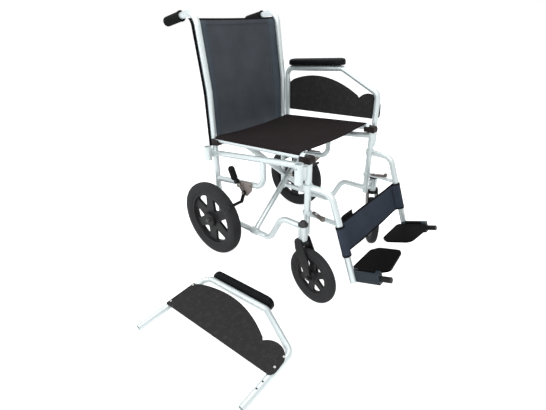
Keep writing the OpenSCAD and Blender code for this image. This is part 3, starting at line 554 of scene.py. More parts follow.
SADDLE_PLASTIC = Moulded("saddle_plastic", (0.016, 0.011, 0.010), roughness=0.38, specular=0.12)
BACK_CLOTH = WovenNylon("back_cloth", NAVY_GREY, Axis.XZ, specular=0.03)
HEM_CLOTH = WovenNylon("back_hem_cloth", HEM_TEAL, Axis.XZ, specular=0.04)
SEAT_CLOTH = WovenNylon("seat_cloth", BROWN_BLACK, Axis.XY, specular=0.02)
STRAP_CLOTH = WovenNylon("strap_cloth", STRAP_BLUE, Axis.XZ, pitch=0.0014, sheen=0.02, specular=0.03)
TAPE_CLOTH = WovenNylon("binding_tape", JET, Axis.XZ, pitch=0.001, specular=0.03)
THREAD = Moulded("stitching_thread", (0.02, 0.021, 0.025), roughness=0.7, specular=0.05)

SLOT_FINISH: dict[str, Finish] = {
    "frame_paint": FRAME_COAT, "back_cloth": BACK_CLOTH, "seat_cloth": SEAT_CLOTH, "strap_cloth": STRAP_CLOTH,
    "tyre": TYRE_RUBBER, "wheel_plastic": WHEEL_NYLON, "fork_plastic": FORK_NYLON, "grip_rubber": GRIP_RUBBER,
    "pad_skin": PAD_FOAM, "guard_plastic": GUARD_SHEET, "footplate_plastic": FOOT_PLASTIC,
    "saddle_plastic": SADDLE_PLASTIC, "axle_steel": PLATED, "brake_steel": BRAKE_STEEL,
}


def wear(piece: Piece, finish: Finish) -> Piece:
    """Gives a piece one finish.

    Args:
        piece: Piece to dress.
        finish: Finish to give it.

    Returns:
        The same piece.
    """
    piece.data.materials.clear()
    piece.data.materials.append(finish.material())
    return piece


@dataclass
class Metalwork:
    """The rigid CAD nodes, dressed by their material slots; places are in the chair's millimetres."""

    datum: Datum
    cap_seam: float = 277.0
    axle_cap_x: float = 298.0
    hinge_slope: float = 20.0
    hinge_axis: Point = (-403.0, 142.0)
    stub_from: float = 99.0
    grip_from: float = -9.0

    def split(self, name: str, metal: Colour, way: Vector, place: Sequence[float], past: float = 0.0,
              **more: float) -> TwoTone:
        """Makes a finish that turns black beyond a plane.

        Args:
            name: Name of the finish.
            metal: Colour before the plane.
            way: Direction that the plane faces.
            place: Place in the chair's millimetres that the plane is measured from.
            past: Distance of the plane beyond that place, in millimetres.
            **more: Further fields of the finish.

        Returns:
            The finish.
        """
        return TwoTone(name, metal, JET, way, way.dot(self.datum.at(*place)) + past * MM, **more)

    def dress(self) -> None:
        """Gives every CAD node the finish of its slot, and two-tone nodes their split."""
        for part in frame["record"]["subparts"]:
            finish = SLOT_FINISH[part["material_slot"]]
            wear(frame["nodes"][part["node"]], finish)
            log.info("%s wears %s", part["node"], finish.name)
        pairs = {
            "latch": LATCH_STEEL,
            "brake_shoe": BLACK_STEEL,
            "caster_housing": self.split("housing_and_cap", SILVER, UPWARD, (0, 0, self.cap_seam)),
            "brake_lever": self.split("brake_lever_and_grip", BRAKE_GREY, lean(BRAKE_TILT), (0, *BRAKE_KNEE),
                                      self.grip_from, metallic=0.9, specular=0.2),
            # The hinge block's blue-grey is a painted reflection; the stub beyond the plane is black.
            "footplate_hinge": self.split("hinge_block_and_stub", HINGE_REFLECTION_BLUE, lean(180 - self.hinge_slope),
                                          (0, *self.hinge_axis), self.stub_from, metallic=0.0, specular=0.15),
        }
        for side in Side:
            pairs["rear_axle"] = self.split(f"{side.word}_axle_and_cap", ZINC, CROSSWISE * side.value,
                                            (side.value * self.axle_cap_x, 0, 0), metallic=0.9)
            for word, finish in pairs.items():
                wear(frame["nodes"][f"{side.word}_{word}"], finish)


@dataclass
class WeldBeads:
    """Rippled weld beads where the tubes of a side frame meet."""

    datum: Datum
    bead_radius: float = 1.7
    ripples: int = 26

    def bead(self, centre: Vector, normal: Vector, radius: float, saddle: float) -> Piece:
        """Makes one bead round a tube.

        Args:
            centre: Middle of the bead.
            normal: Direction of the tube, square to the chair's width.
            radius: Radius of the bead's centre line, in millimetres.
            saddle: How far the bead bends round the tube that it sits on, in millimetres.

        Returns:
            The bead.
        """
        normal = normal.normalized()
        up = normal.cross(CROSSWISE)
        rings = []
        steps = self.ripples * 3
        for i in range(steps):
            angle = math.tau * i / steps
            out = CROSSWISE * math.cos(angle) + up * math.sin(angle)
            thick = self.bead_radius * (0.86 + 0.2 * math.cos(angle * self.ripples)) * MM
            middle = centre + (out * radius + normal * saddle * math.cos(angle) ** 2) * MM
            rings.append(circle(middle, out * thick, normal * thick, 8))
        return loft("bead", rings, closed=True)

    def build(self) -> None:
        """Makes the beads of both side frames."""
        reach = TUBE_MM * 0.97
        rear, front = REAR_POST_MM - reach, reach - FRONT_POST_MM
        spots = ((rear, 413, (0, -1, 0.118)), (front, 466, (0, 1, -0.118)), (rear, 130, (0, -1, 0)),
                 (front, 242, (0, 1, 0)), (rear, 306.5, (0, -1, 0.126)), (-30, 443 - reach, (0, 0, -1)))
        for side in Side:
            x = side.value * self.datum.post_x
            beads = [self.bead(self.datum.at(x, y, z), Vector(way), TUBE_MM + 0.4, -TUBE_MM * 0.9)
                     for y, z, way in spots]
            whole = wear(joined(f"{side.word}_weld_beads", beads), FRAME_COAT)
            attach(whole, f"{side.word}_frame")
            log.info("%s on %s_frame", whole.name, side.word)


@dataclass
class BrakeTrim:
    """Ribbed rubber sleeves on the brake levers and the springs round their pivots."""

    datum: Datum
    grip_x: float = 236.4
    radius: float = 12.8
    low: float = 9.0
    high: float = 62.0
    pivot: Point = (78.0, 322.0)
    spring_x: float = 228.3
    spring_radius: float = 6.4
    spring_wire: float = 0.8
    spring_turns: float = 2.4
    spring_pitch: float = 1.7

    def sleeve(self, side: Side) -> Piece:
        """Lofts the sleeve: a slim neck, shallow ribs and a domed end."""
        along, across = lean(BRAKE_TILT), lean(BRAKE_TILT + 90)
        base = self.datum.at(side.value * self.grip_x, *BRAKE_KNEE)
        rings = []
        steps, dome = 60, self.high - self.radius
        for i in range(steps + 1):
            s = self.low + (self.high - self.low) * i / steps
            wide = self.radius * (0.84 + 0.16 * smooth_step(self.low, self.low + 9, s))
            if dome > s > self.low + 8:
                wide -= 0.35 * (0.5 + 0.5 * math.cos(math.tau * s / 4.2))
            if s > dome:
                wide = math.sqrt(max(self.radius ** 2 - (s - dome) ** 2, 0.3))
            rings.append(circle(base + along * s * MM, CROSSWISE * wide * MM, across * wide * MM, 32))
        return loft(f"{side.word}_brake_sleeve", rings)

    def spring(self, side: Side) -> Piece:
        """Winds the torsion spring round the pivot."""
        centre = self.datum.at(side.value * self.spring_x, *self.pivot)
        outward = CROSSWISE * side.value
        count = 90
        turns = [self.spring_turns * i / count for i in range(count + 1)]
        path = [centre + (lean(360 * turn) * self.spring_radius + outward * turn * self.spring_pitch) * MM
                for turn in turns]
        rings = []
        for i, spot in enumerate(path):
            way = (path[min(i + 1, count)] - path[max(i - 1, 0)]).normalized()
            first = way.cross(outward).normalized() * self.spring_wire * MM
            rings.append(circle(spot, first, way.cross(first), 8))
        return loft(f"{side.word}_brake_spring", rings)

    def build(self) -> None:
        """Builds both brakes' trim."""
        for side in Side:
            sleeve = wear(self.sleeve(side), GRIP_RUBBER)
            spring = wear(self.spring(side), PLATED)
            for piece in (sleeve, spring):
                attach(piece, f"{side.word}_brake_handle")
            log.info("%s and %s ride on the %s brake", sleeve.name, spring.name, side.word)


@dataclass
class Tyre:
    """A solid tyre with a crowned, grooved tread, drawn as a revolve."""

    node: str
    body: str
    outer: float
    inner: float
    width: float
    centre: Vector
    axle: Vector
    grooves: int
    lugs: int

    def profile(self) -> list[Point]:
        """Cross section as (radius, offset) in millimetres, once round."""
        half, crown = self.width / 2, self.outer - self.inner
        flank = [(self.inner + crown * rise, -half * out)
                 for rise, out in ((0.0, 0.72), (0.14, 0.8), (0.35, 0.985), (0.5, 1.0), (0.58, 0.985))]
        tread = []
        count = 30
        for i in range(count + 1):
            a = math.radians(-62 + 124 * i / count)
            offset = half * math.sin(a) / math.sin(math.radians(72))
            share = offset / half
            groove = max(math.cos(math.pi * self.grooves * share), 0.0) ** 12 if abs(share) < 0.72 else 0.0
            tread.append((self.outer - self.width * (0.28 * (1 - math.cos(a)) + 0.045 * groove), offset))
        return flank + tread + [(radius, -offset) for radius, offset in reversed(flank)]

    def build(self) -> None:
        """Revolves the profile, with shallow cross cuts at the tread's edges."""
        axle = self.axle.normalized()
        forward = axle.cross(UPWARD).normalized()
        profile = self.profile()
        shoulder = self.inner + (self.outer - self.inner) * 0.6
        rings = []
        steps = self.lugs * 2
        for i in range(steps):
            angle = math.tau * i / steps
            out = forward * math.cos(angle) + UPWARD * math.sin(angle)
            cut = 0.012 * self.width * (i % 2)
            ring = []
            for radius, offset in profile:
                share = abs(offset) / (self.width / 2)
                edge = smooth_step(0.5, 0.75, share) * (1 - smooth_step(0.9, 0.99, share))
                deep = cut * edge if radius > shoulder else 0.0
                ring.append(self.centre + out * (radius - deep) * MM + axle * offset * MM)
            rings.append(ring)
        piece = wear(loft(f"{self.node}_tread", rings, closed=True), TYRE_RUBBER)
        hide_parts(self.node)
        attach(piece, self.body)
        log.info("%s rides on %s", piece.name, self.body)


@dataclass
class RunningGear:
    """The four tyres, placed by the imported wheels; each size is outer radius, inner radius and width."""

    rear: tuple[float, float, float] = (155.0, 111.1, 40.0)
    caster: tuple[float, float, float] = (100.0, 69.1, 25.0)

    def build(self) -> None:
        """Builds each tyre round its own axle."""
        joints = {joint["name"]: joint for joint in frame["joints"]}
        for side in Side:
            for node, body, roll, size, grooves, lugs in (
                    ("rear_tyre", "rear_wheel_set", "rear_wheel_roll", self.rear, 3, 72),
                    ("caster_tyre", "caster_roller", "caster_roll", self.caster, 2, 60)):
                joint = joints[f"{side.word}_{roll}"]
                Tyre(f"{side.word}_{node}", f"{side.word}_{body}", *size, Vector(joint["pos_m"]),
                     Vector(joint["axis"]), grooves, lugs).build()


def seam(start: Point, end: Point, steps: int = 12) -> list[Point]:
    """Evenly spaced places on a cloth from one to another, as shares across and along."""
    return [tuple(a + (b - a) * i / steps for a, b in zip(start, end)) for i in range(steps + 1)]


@dataclass
class Cloth:
    """A sheet with two faces, rolled edges and rows of stitches, drawn over a surface."""

    name: str
    surface: Callable[[float, float], tuple[Vector, Vector]]
    thickness: Callable[[float, float], float]
    columns: int
    rows: int
    seams: list[list[Point]]

    def build(self) -> Piece:
        """Skins both faces and the edge between them as one closed mesh."""
        top: list[Vector] = []
        bottom: list[Vector] = []
        for j in range(self.rows + 1):
            for i in range(self.columns + 1):
                u, v = i / self.columns, j / self.rows
                place, normal = self.surface(u, v)
                on_edge = i in (0, self.columns) or j in (0, self.rows)
                half = self.thickness(u, v) / 2 * MM * (0.45 if on_edge else 1.0)
                top.append(place + normal * half)
                bottom.append(place - normal * half)
        wide, base = self.columns + 1, len(top)
        faces = []
        for j in range(self.rows):
            for i in range(self.columns):
                a = j * wide + i
                faces.append([a, a + 1, a + wide + 1, a + wide])
                faces.append([base + a, base + a + wide, base + a + wide + 1, base + a + 1])
        rim = list(range(wide)) + [j * wide + self.columns for j in range(1, self.rows + 1)]
        rim += [self.rows * wide + i for i in range(self.columns - 1, -1, -1)]
        rim += [j * wide for j in range(self.rows - 1, 0, -1)]
        faces += [[b, a, base + a, base + b] for a, b in zip(rim, rim[1:] + rim[:1])]
        return faced(mesh_piece(self.name, top + bottom, faces))

    def trim(self, piece: Piece, finish: Finish, covers: Callable[[float, float], bool]) -> None:
        """Gives the faces of a region a second finish.

        Args:
            piece: The sheet that build made.
            finish: Finish of the region.
            covers: Whether the region holds a place, given its shares across and along.
        """
        piece.data.materials.append(finish.material())
        slot = len(piece.data.materials) - 1
        wide = self.columns + 1
        count = wide * (self.rows + 1)
        for polygon in piece.data.polygons:
            places = [divmod(i % count, wide) for i in polygon.vertices]
            v, u = (sum(shares) / len(places) for shares in zip(*places))
            if covers(u / self.columns, v / self.rows):
                polygon.material_index = slot

    def stitches(self, name: str, length: float = 4.2, gap: float = 2.2, lift: float = 0.105) -> Piece:
        """Lays short threads along the seams, just proud of the cloth.

        Args:
            name: Name of the piece.
            length: Length of a stitch in millimetres.
            gap: Space between stitches in millimetres.
            lift: Height of a thread's middle over the cloth in millimetres.

        Returns:
            All stitches as one mesh.
        """
        threads: list[Mesh] = []
        for start, end in (pair for row in self.seams for pair in zip(row, row[1:])):
            span = (self.surface(*end)[0] - self.surface(*start)[0]).length / MM
            count = max(int(span / (length + gap)), 1)
            for k in range(count):
                ends = []
                for t in (k / count, (k + length / (length + gap)) / count):
                    u, v = (a + (b - a) * t for a, b in zip(start, end))
                    place, normal = self.surface(u, v)
                    ends.append((place + normal * (self.thickness(u, v) / 2 + lift) * MM, normal))
                (a, up), (b, _) = ends
                across = up.cross((b - a).normalized()).normalized()
                threads.append(skin([circle(a + (b - a) * t, across * size * MM, up * size * MM, 6)
                                     for t, size in ((0.0, 0.3), (0.2, 0.55), (0.8, 0.55), (1.0, 0.3))]))
        return wear(mesh_piece(name, *merged(threads)), THREAD)


def fold_away(pieces: Sequence[Piece], body: str, anchor: Vector) -> None:
    """Lets soft pieces ride on a body, each with a mesh of its own."""
    for piece in pieces:
        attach(piece, body)
        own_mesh(piece)
        log.info("%s rides on %s and flattens with the fold", piece.name, body)


@dataclass
class BackSling:
    """The back cloth: taut between the rear posts, its hems curled round the backs of the tubes."""

    datum: Datum
    low: float = 440.5
    high: float = 880.5
    lean_from: float = 640.0
    lean: float = 7.4
    lean_blend: float = 24.0
    behind: float = 13.6
    half_width: float = 224.5
    hem: float = 68.0
    border: float = 21.0
    binding: float = 6.0
    bend_from: float = 857.0
    bend_inside: float = 30.7

    def surface(self, u: float, v: float) -> tuple[Vector, Vector]:
        """Point and forward normal of the cloth's middle.

        Args:
            u: Share of the width from the right hem to the left hem.
            v: Share of the height from the lower to the upper edge.

        Returns:
            The point and the normal.
        """
        x = self.half_width * (2 * u - 1)
        edge = self.half_width - abs(x)
        bow, rise = math.sin(math.pi * u), math.sin(math.pi * v)
        z = self.low + (self.high - self.low) * v - 2.5 * bow * (2 * v - 1)
        over = z - self.lean_from
        lean_back = math.tan(math.radians(self.lean)) * (over + math.hypot(over, self.lean_blend)) / 2
        past = min(max(z - self.bend_from, 0.0), self.bend_inside - 1)
        bend = self.bend_inside - math.sqrt(self.bend_inside ** 2 - past ** 2)
        bend *= 0.3 + 0.7 * smooth_step(150, 196, abs(x))
        belly = 3.0 * bow ** 0.8 * rise ** 0.6 if 0 < u < 1 and 0 < v < 1 else 0.0
        creases = 0.5 * math.sin(z / 37.0 + 2.2 * u) * math.exp(-((edge - self.hem) / 18.0) ** 2)
        ripple = 0.8 * math.sin(9.0 * u + 3.0 * v) * bow * rise
        curl = max(1 - edge / 12.0, 0.0)
        y = REAR_POST_MM + self.behind + lean_back + bend + belly + creases + ripple - curl ** 2
        return self.datum.at(x, y, z), Vector((math.copysign(0.5 * curl, x), -1, 0.0)).normalized()

    def thickness(self, u: float, v: float) -> float:
        """Doubled along the side hems, the top and the bottom edge."""
        edge = self.half_width * (1 - abs(2 * u - 1))
        rise = min(v, 1 - v) * (self.high - self.low)
        side = 1 - smooth_step(self.hem - 1.5, self.hem + 1.5, edge)
        return 1.9 + 1.5 * max(side, 1 - smooth_step(self.border + 1, self.border + 4, rise))

    def build(self) -> None:
        """Builds the cloth and its stitching, and lets both ride on the right frame."""
        width, height = 2 * self.half_width, self.high - self.low
        u, v = (self.hem - 3) / width, self.border / height
        rows = [seam((across, 0), (across, 1)) for across in (u, 1 - u, u - 5 / width, 1 - u + 5 / width)]
        rows += [seam((u, along), (1 - u, along)) for along in (v, 1 - v)]
        cloth = Cloth("back_sling", self.surface, self.thickness, 180, 140, rows)
        sling = wear(cloth.build(), BACK_CLOTH)
        cloth.trim(sling, HEM_CLOTH, lambda u, v: min(u, 1 - u) < self.hem / width)
        cloth.trim(sling, TAPE_CLOTH,
                   lambda u, v: min(v, 1 - v) < self.binding / height or min(u, 1 - u) < 10.0 / width)
        thread = cloth.stitches("back_stitching")
        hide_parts("back")
        fold_away((sling, thread), "right_frame", self.datum.at(-self.datum.post_x, 0, 0))


@dataclass
class SeatSling:
    """The seat cloth: wrapped over both seat rails, sagging between them."""

    datum: Datum
    front: float = -196.0
    rear: float = 204.0
    rear_z: float = 470.5
    front_z: float = 497.0
    rail_length: float = 418.0
    inner: float = 197.0
    half_width: float = 219.0
    sag: float = 8.0
    hem: float = 36.0
    border: float = 19.0

    def surface(self, u: float, v: float) -> tuple[Vector, Vector]:
        """Point and upward normal of the cloth's middle.

        Args:
            u: Share of the width from the right rail to the left rail.
            v: Share of the length from the front to the rear edge.

        Returns:
            The point and the normal.
        """
        x = self.half_width * (2 * u - 1)
        y = self.front + (self.rear - self.front) * v
        climb = (self.front_z - self.rear_z) / self.rail_length
        share = min(abs(x) / self.inner, 1.0)
        drop = self.sag * (1 - share ** 2) * (0.92 + 0.25 * (1 - v))
        wrap = max(abs(x) - 209.0, 0.0)
        curl = TUBE_MM - math.sqrt(max(TUBE_MM ** 2 - (wrap * 1.08) ** 2, 0.0))
        seat_dip = 1.5 * math.exp(-((x / 95.0) ** 2 + ((y - 30.0) / 110.0) ** 2))
        beside_rail = smooth_step(80, 190, abs(x)) * (1 - smooth_step(190, 205, abs(x)))
        pull = 0.6 * math.sin((x + y) / 26.0) * beside_rail
        pull += 0.4 * math.sin((x * 0.6 - y) / 19.0) * smooth_step(90, 200, abs(y)) * (1 - share)
        z = self.rear_z + (self.rear - y) * climb + 13.4 - drop - curl - seat_dip + pull
        slope_x = 2 * self.sag * x / self.inner ** 2 if share < 1 else 0.0
        tip = math.copysign(0.9 * wrap / TUBE_MM, x)
        return self.datum.at(x, y, z), Vector((tip - slope_x, climb, 1)).normalized()

    def thickness(self, u: float, v: float) -> float:
        """Doubled along the rails and at the front and rear hems."""
        edge = self.half_width * (1 - abs(2 * u - 1))
        rise = min(v, 1 - v) * (self.rear - self.front)
        side = 1 - smooth_step(self.hem - 1.5, self.hem + 1.5, edge)
        return 2.2 + 1.5 * max(side, 1 - smooth_step(self.border + 1, self.border + 4, rise))

    def build(self) -> None:
        """Builds the cloth and its stitching, and leaves both fixed in place."""
        width, length = 2 * self.half_width, self.rear - self.front
        u, v = (self.hem - 3) / width, self.border / length
        rows = [seam((across, 0), (across, 1)) for across in (u, 1 - u)]
        rows += [seam((u, along), (1 - u, along)) for along in (v, 1 - v)]
        cloth = Cloth("seat_sling", self.surface, self.thickness, 130, 110, rows)
        sling = wear(cloth.build(), SEAT_CLOTH)
        thread = cloth.stitches("seat_stitching")
        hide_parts("seat")
        start, end = (tuple(self.datum.at(side.value * self.datum.post_x, 0, 480)) for side in Side)
        for piece in (sling, thread):
            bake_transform(piece)
            log.info("%s hangs between the brace arms", piece.name)


@dataclass
class CalfStrap:
    """Half of the calf strap: a sleeve round the hanger tube and a band to the middle."""

    datum: Datum
    side: Side
    high: float = 299.0
    height: float = 105.0
    slope: float = 20.0
    bend_y: float = -313.0
    bend_z: float = 398.0
    thick: float = 2.6
    skin_radius: float = 11.4
    sleeve: float = 21.0
    tab_across: Point = (28.0, 112.0)
    tab_below: float = 30.0
    tab_above: float = 13.0

    @property
    def radius(self) -> float:
        """Radius of the cloth's middle round the tube."""
        return self.skin_radius + self.thick / 2

    @property
    def front(self) -> float:
        """Length of the sleeve's front layer."""
        return self.sleeve * 1.5

    @property
    def wrapped(self) -> float:
        """Length from the sleeve's seam round the tube."""
        return self.front + math.pi * self.radius

    def placed(self, x: float, y: float, rise: float) -> Vector:
        """Vector along the strap's own axes: inboard, behind the hanger and up it."""
        return Vector((x * -self.side.value, 0, 0)) + lean(-self.slope) * y + lean(90 - self.slope) * rise

    def origin(self) -> Vector:
        """Place on the hanger tube's centre line at the strap's upper edge."""
        top_y = self.bend_y - (self.bend_z - self.high) * math.tan(math.radians(self.slope))
        return self.datum.at(self.side.value * self.datum.post_x, top_y, self.high)

    def path(self, s: float) -> tuple[float, float, Point]:
        """Follows the cloth in plan from the seam of the sleeve to the middle of the chair.

        Args:
            s: Length from the seam, in millimetres.

        Returns:
            Place inboard of the tube, place behind it, and the outward normal in plan.
        """
        radius = self.radius
        if s < self.front:
            share = s / self.front
            ease = smooth_step(0.0, 0.62, share)
            y = (radius - self.thick - 0.2) * (1 - ease) - radius * ease
            return self.sleeve * (1 - share), y, (0.45 * math.sin(math.pi * min(share / 0.62, 1.0)), -1)
        if s < self.wrapped:
            angle = (s - self.front) / radius
            normal = (-math.sin(angle), -math.cos(angle))
            return radius * normal[0], radius * normal[1], normal
        return s - self.wrapped, radius, (0, 1)

    def surface(self, u: float, v: float) -> tuple[Vector, Vector]:
        """Point and outward normal of the band's middle.

        Args:
            u: Share of the band from the sleeve's seam, round the tube, to the middle.
            v: Share of the height from the lower to the upper edge.

        Returns:
            The point and the normal.
        """
        span = self.datum.post_x + 0.6
        s = u * (self.wrapped + span)
        x, y, normal = self.path(s)
        lower = -self.height * (1 - v)
        if s > self.wrapped:
            share = x / span
            y += 3.5 * math.sin(math.pi * share * 0.5) * (0.6 + 0.4 * math.sin(2.4 * v + 1.0))
            y += 1.1 * math.sin(7 * share + 2.0 * v) * smooth_step(0.0, 0.25, share)
            lower -= 5.0 * math.sin(math.pi * 0.5 * share) * (1 - 0.5 * v)
        return self.origin() + self.placed(x, y, lower) * MM, self.placed(*normal, 0).normalized()

    def thickness(self, u: float, v: float) -> float:
        """Doubled along the upper and lower hems."""
        rise = min(v, 1 - v) * self.height
        return self.thick * (0.62 + 0.38 * (1 - smooth_step(9.0, 11.0, rise)))

    def tab_surface(self, u: float, v: float) -> tuple[Vector, Vector]:
        """Point and normal of the closing tab's middle, behind the band."""
        start, end = self.tab_across
        tall = self.tab_below + self.tab_above - 9.0 * (1 - smooth_step(0.0, 0.35, u))
        behind = self.skin_radius + self.thick + 4.2 + 0.8 * math.sin(3 * u)
        place = self.placed(start + (end - start) * u, behind, tall * v - self.tab_below)
        return self.origin() + place * MM, lean(-self.slope)

    def tab(self) -> Piece:
        """Makes the black closing tab that stands over the right band's upper edge."""
        edge = [(0.04, 0.1), (0.96, 0.1), (0.96, 0.93), (0.04, 0.9), (0.04, 0.1)]
        word = self.side.word
        cloth = Cloth(f"{word}_calf_tab", self.tab_surface, lambda u, v: 1.8, 24, 14, [edge])
        thread = cloth.stitches(f"{word}_tab_stitching")
        piece = faced(joined(f"{word}_calf_tab", [cloth.build(), thread]))
        return wear(piece, TAPE_CLOTH)

    def build(self) -> None:
        """Builds the band, its stitching and, on the right, its closing tab."""
        word = self.side.word
        rows = [seam((0.05, v), (0.97, v), 16) for v in (0.085, 0.915)]
        rows += [seam((0.975, 0.12), (0.975, 0.88), 4), seam((0.012, 0.1), (0.012, 0.9), 4)]
        cloth = Cloth(f"{word}_calf_band", self.surface, self.thickness, 150, 34, rows)
        band = wear(cloth.build(), STRAP_CLOTH)
        cloth.trim(band, TAPE_CLOTH, lambda u, v: min(v, 1 - v) < 0.05)
        thread = cloth.stitches(f"{word}_calf_stitching")
        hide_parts(f"{word}_calf_strap")
        pieces = [band, thread] + ([self.tab()] if self.side is Side.RIGHT else [])
        fold_away(pieces, f"{word}_footrest", self.datum.at(self.side.value * self.datum.post_x, 0, 0))


@dataclass
class ArmPad:
    """An integral-foam arm pad: crowned, with full rounded ends."""

    node: str
    body: str
    along: Vector
    up: Vector
    centre: Vector
    length: float = 272.0
    width: float = 54.0
    thick: float = 28.0

    def build(self) -> None:
        """Lofts the pad along its length and rounds it off."""
        across = self.up.cross(self.along).normalized()
        half = self.width / 2
        rings = []
        steps = 34
        for i in range(steps + 1):
            s = -math.cos(math.pi * i / steps) * self.length / 2
            past = max(abs(s) - (self.length / 2 - half), 0.0) / half
            plan = math.sqrt(max(1 - past ** 2, 0.0025))
            low = 0.25 + (1 - plan) * 2.5
            high = (self.thick - 0.4) * (0.55 + 0.45 * plan ** 0.7)
            ring = []
            for k in range(28):
                c, n = math.cos(math.tau * k / 28), math.sin(math.tau * k / 28)
                w = math.copysign(abs(c) ** 0.62, c) * (half - 0.4) * plan
                h = math.copysign(abs(n) ** (0.8 if n > 0 else 0.45), n)
                z = (low + high) / 2 + h * (high - low) / 2
                ring.append(self.centre + (self.along * s + across * w + self.up * z) * MM)
            rings.append(ring)
        piece = wear(subdivided(loft(f"{self.node}_foam", rings)), PAD_FOAM)
        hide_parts(self.node)
        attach(piece, self.body)
        log.info("%s rides on %s", piece.name, self.body)


@dataclass
class Guard:
    """Outline of a side guard: straight foot, one long arch and a round nose at the front leg."""

    rear: float = 231.0
    foot_rear: float = 500.0
    foot_front: float = 517.0
    rear_top: float = 628.0
    arch_from: float = 222.0
    arch_to: float = -122.0
    arch_peak: float = 75.0
    arch_z: float = 658.0
    arch_fall: float = 0.00152
    nose_y: float = -172.0
    nose_z: float = 557.0
    nose_r: float = 54.0
    nose_turn: Point = (38.0, 163.0)
    ridge_turn: Point = (36.0, -36.0)
    front_foot: float = 530.0

    def nose(self, turn: Point, steps: int) -> list[Point]:
        """Points along the round nose between two angles in degrees."""
        low, high = turn
        turns = (math.radians(low + (high - low) * i / steps) for i in range(steps + 1))
        return [(self.nose_y + self.nose_r * math.cos(turn), self.nose_z + self.nose_r * math.sin(turn))
                for turn in turns]

    def outline(self) -> list[Point]:
        """Walks once round the sheet: points as (place along the chair, height), rear edge first."""
        points = [(self.rear - 4, self.foot_rear), (self.rear, self.foot_rear + 4),
                  (self.rear, self.rear_top - 6)]
        steps = 44
        for i in range(steps + 1):
            y = self.arch_from + (self.arch_to - self.arch_from) * i / steps
            corner = 5 * (1 - smooth_step(0, 3, i))
            points.append((y, self.arch_z - self.arch_fall * (y - self.arch_peak) ** 2 - corner))
        points += self.nose(self.nose_turn, 26)
        points += [(-226, self.front_foot + 10), (-225, self.front_foot), (-221, self.front_foot - 7)]
        return points + [(-213, self.foot_front)]

    def ridge(self) -> list[Point]:
        """Follows the pressed edge of the nose where it runs on over the sheet."""
        return self.nose(self.ridge_turn, 24)


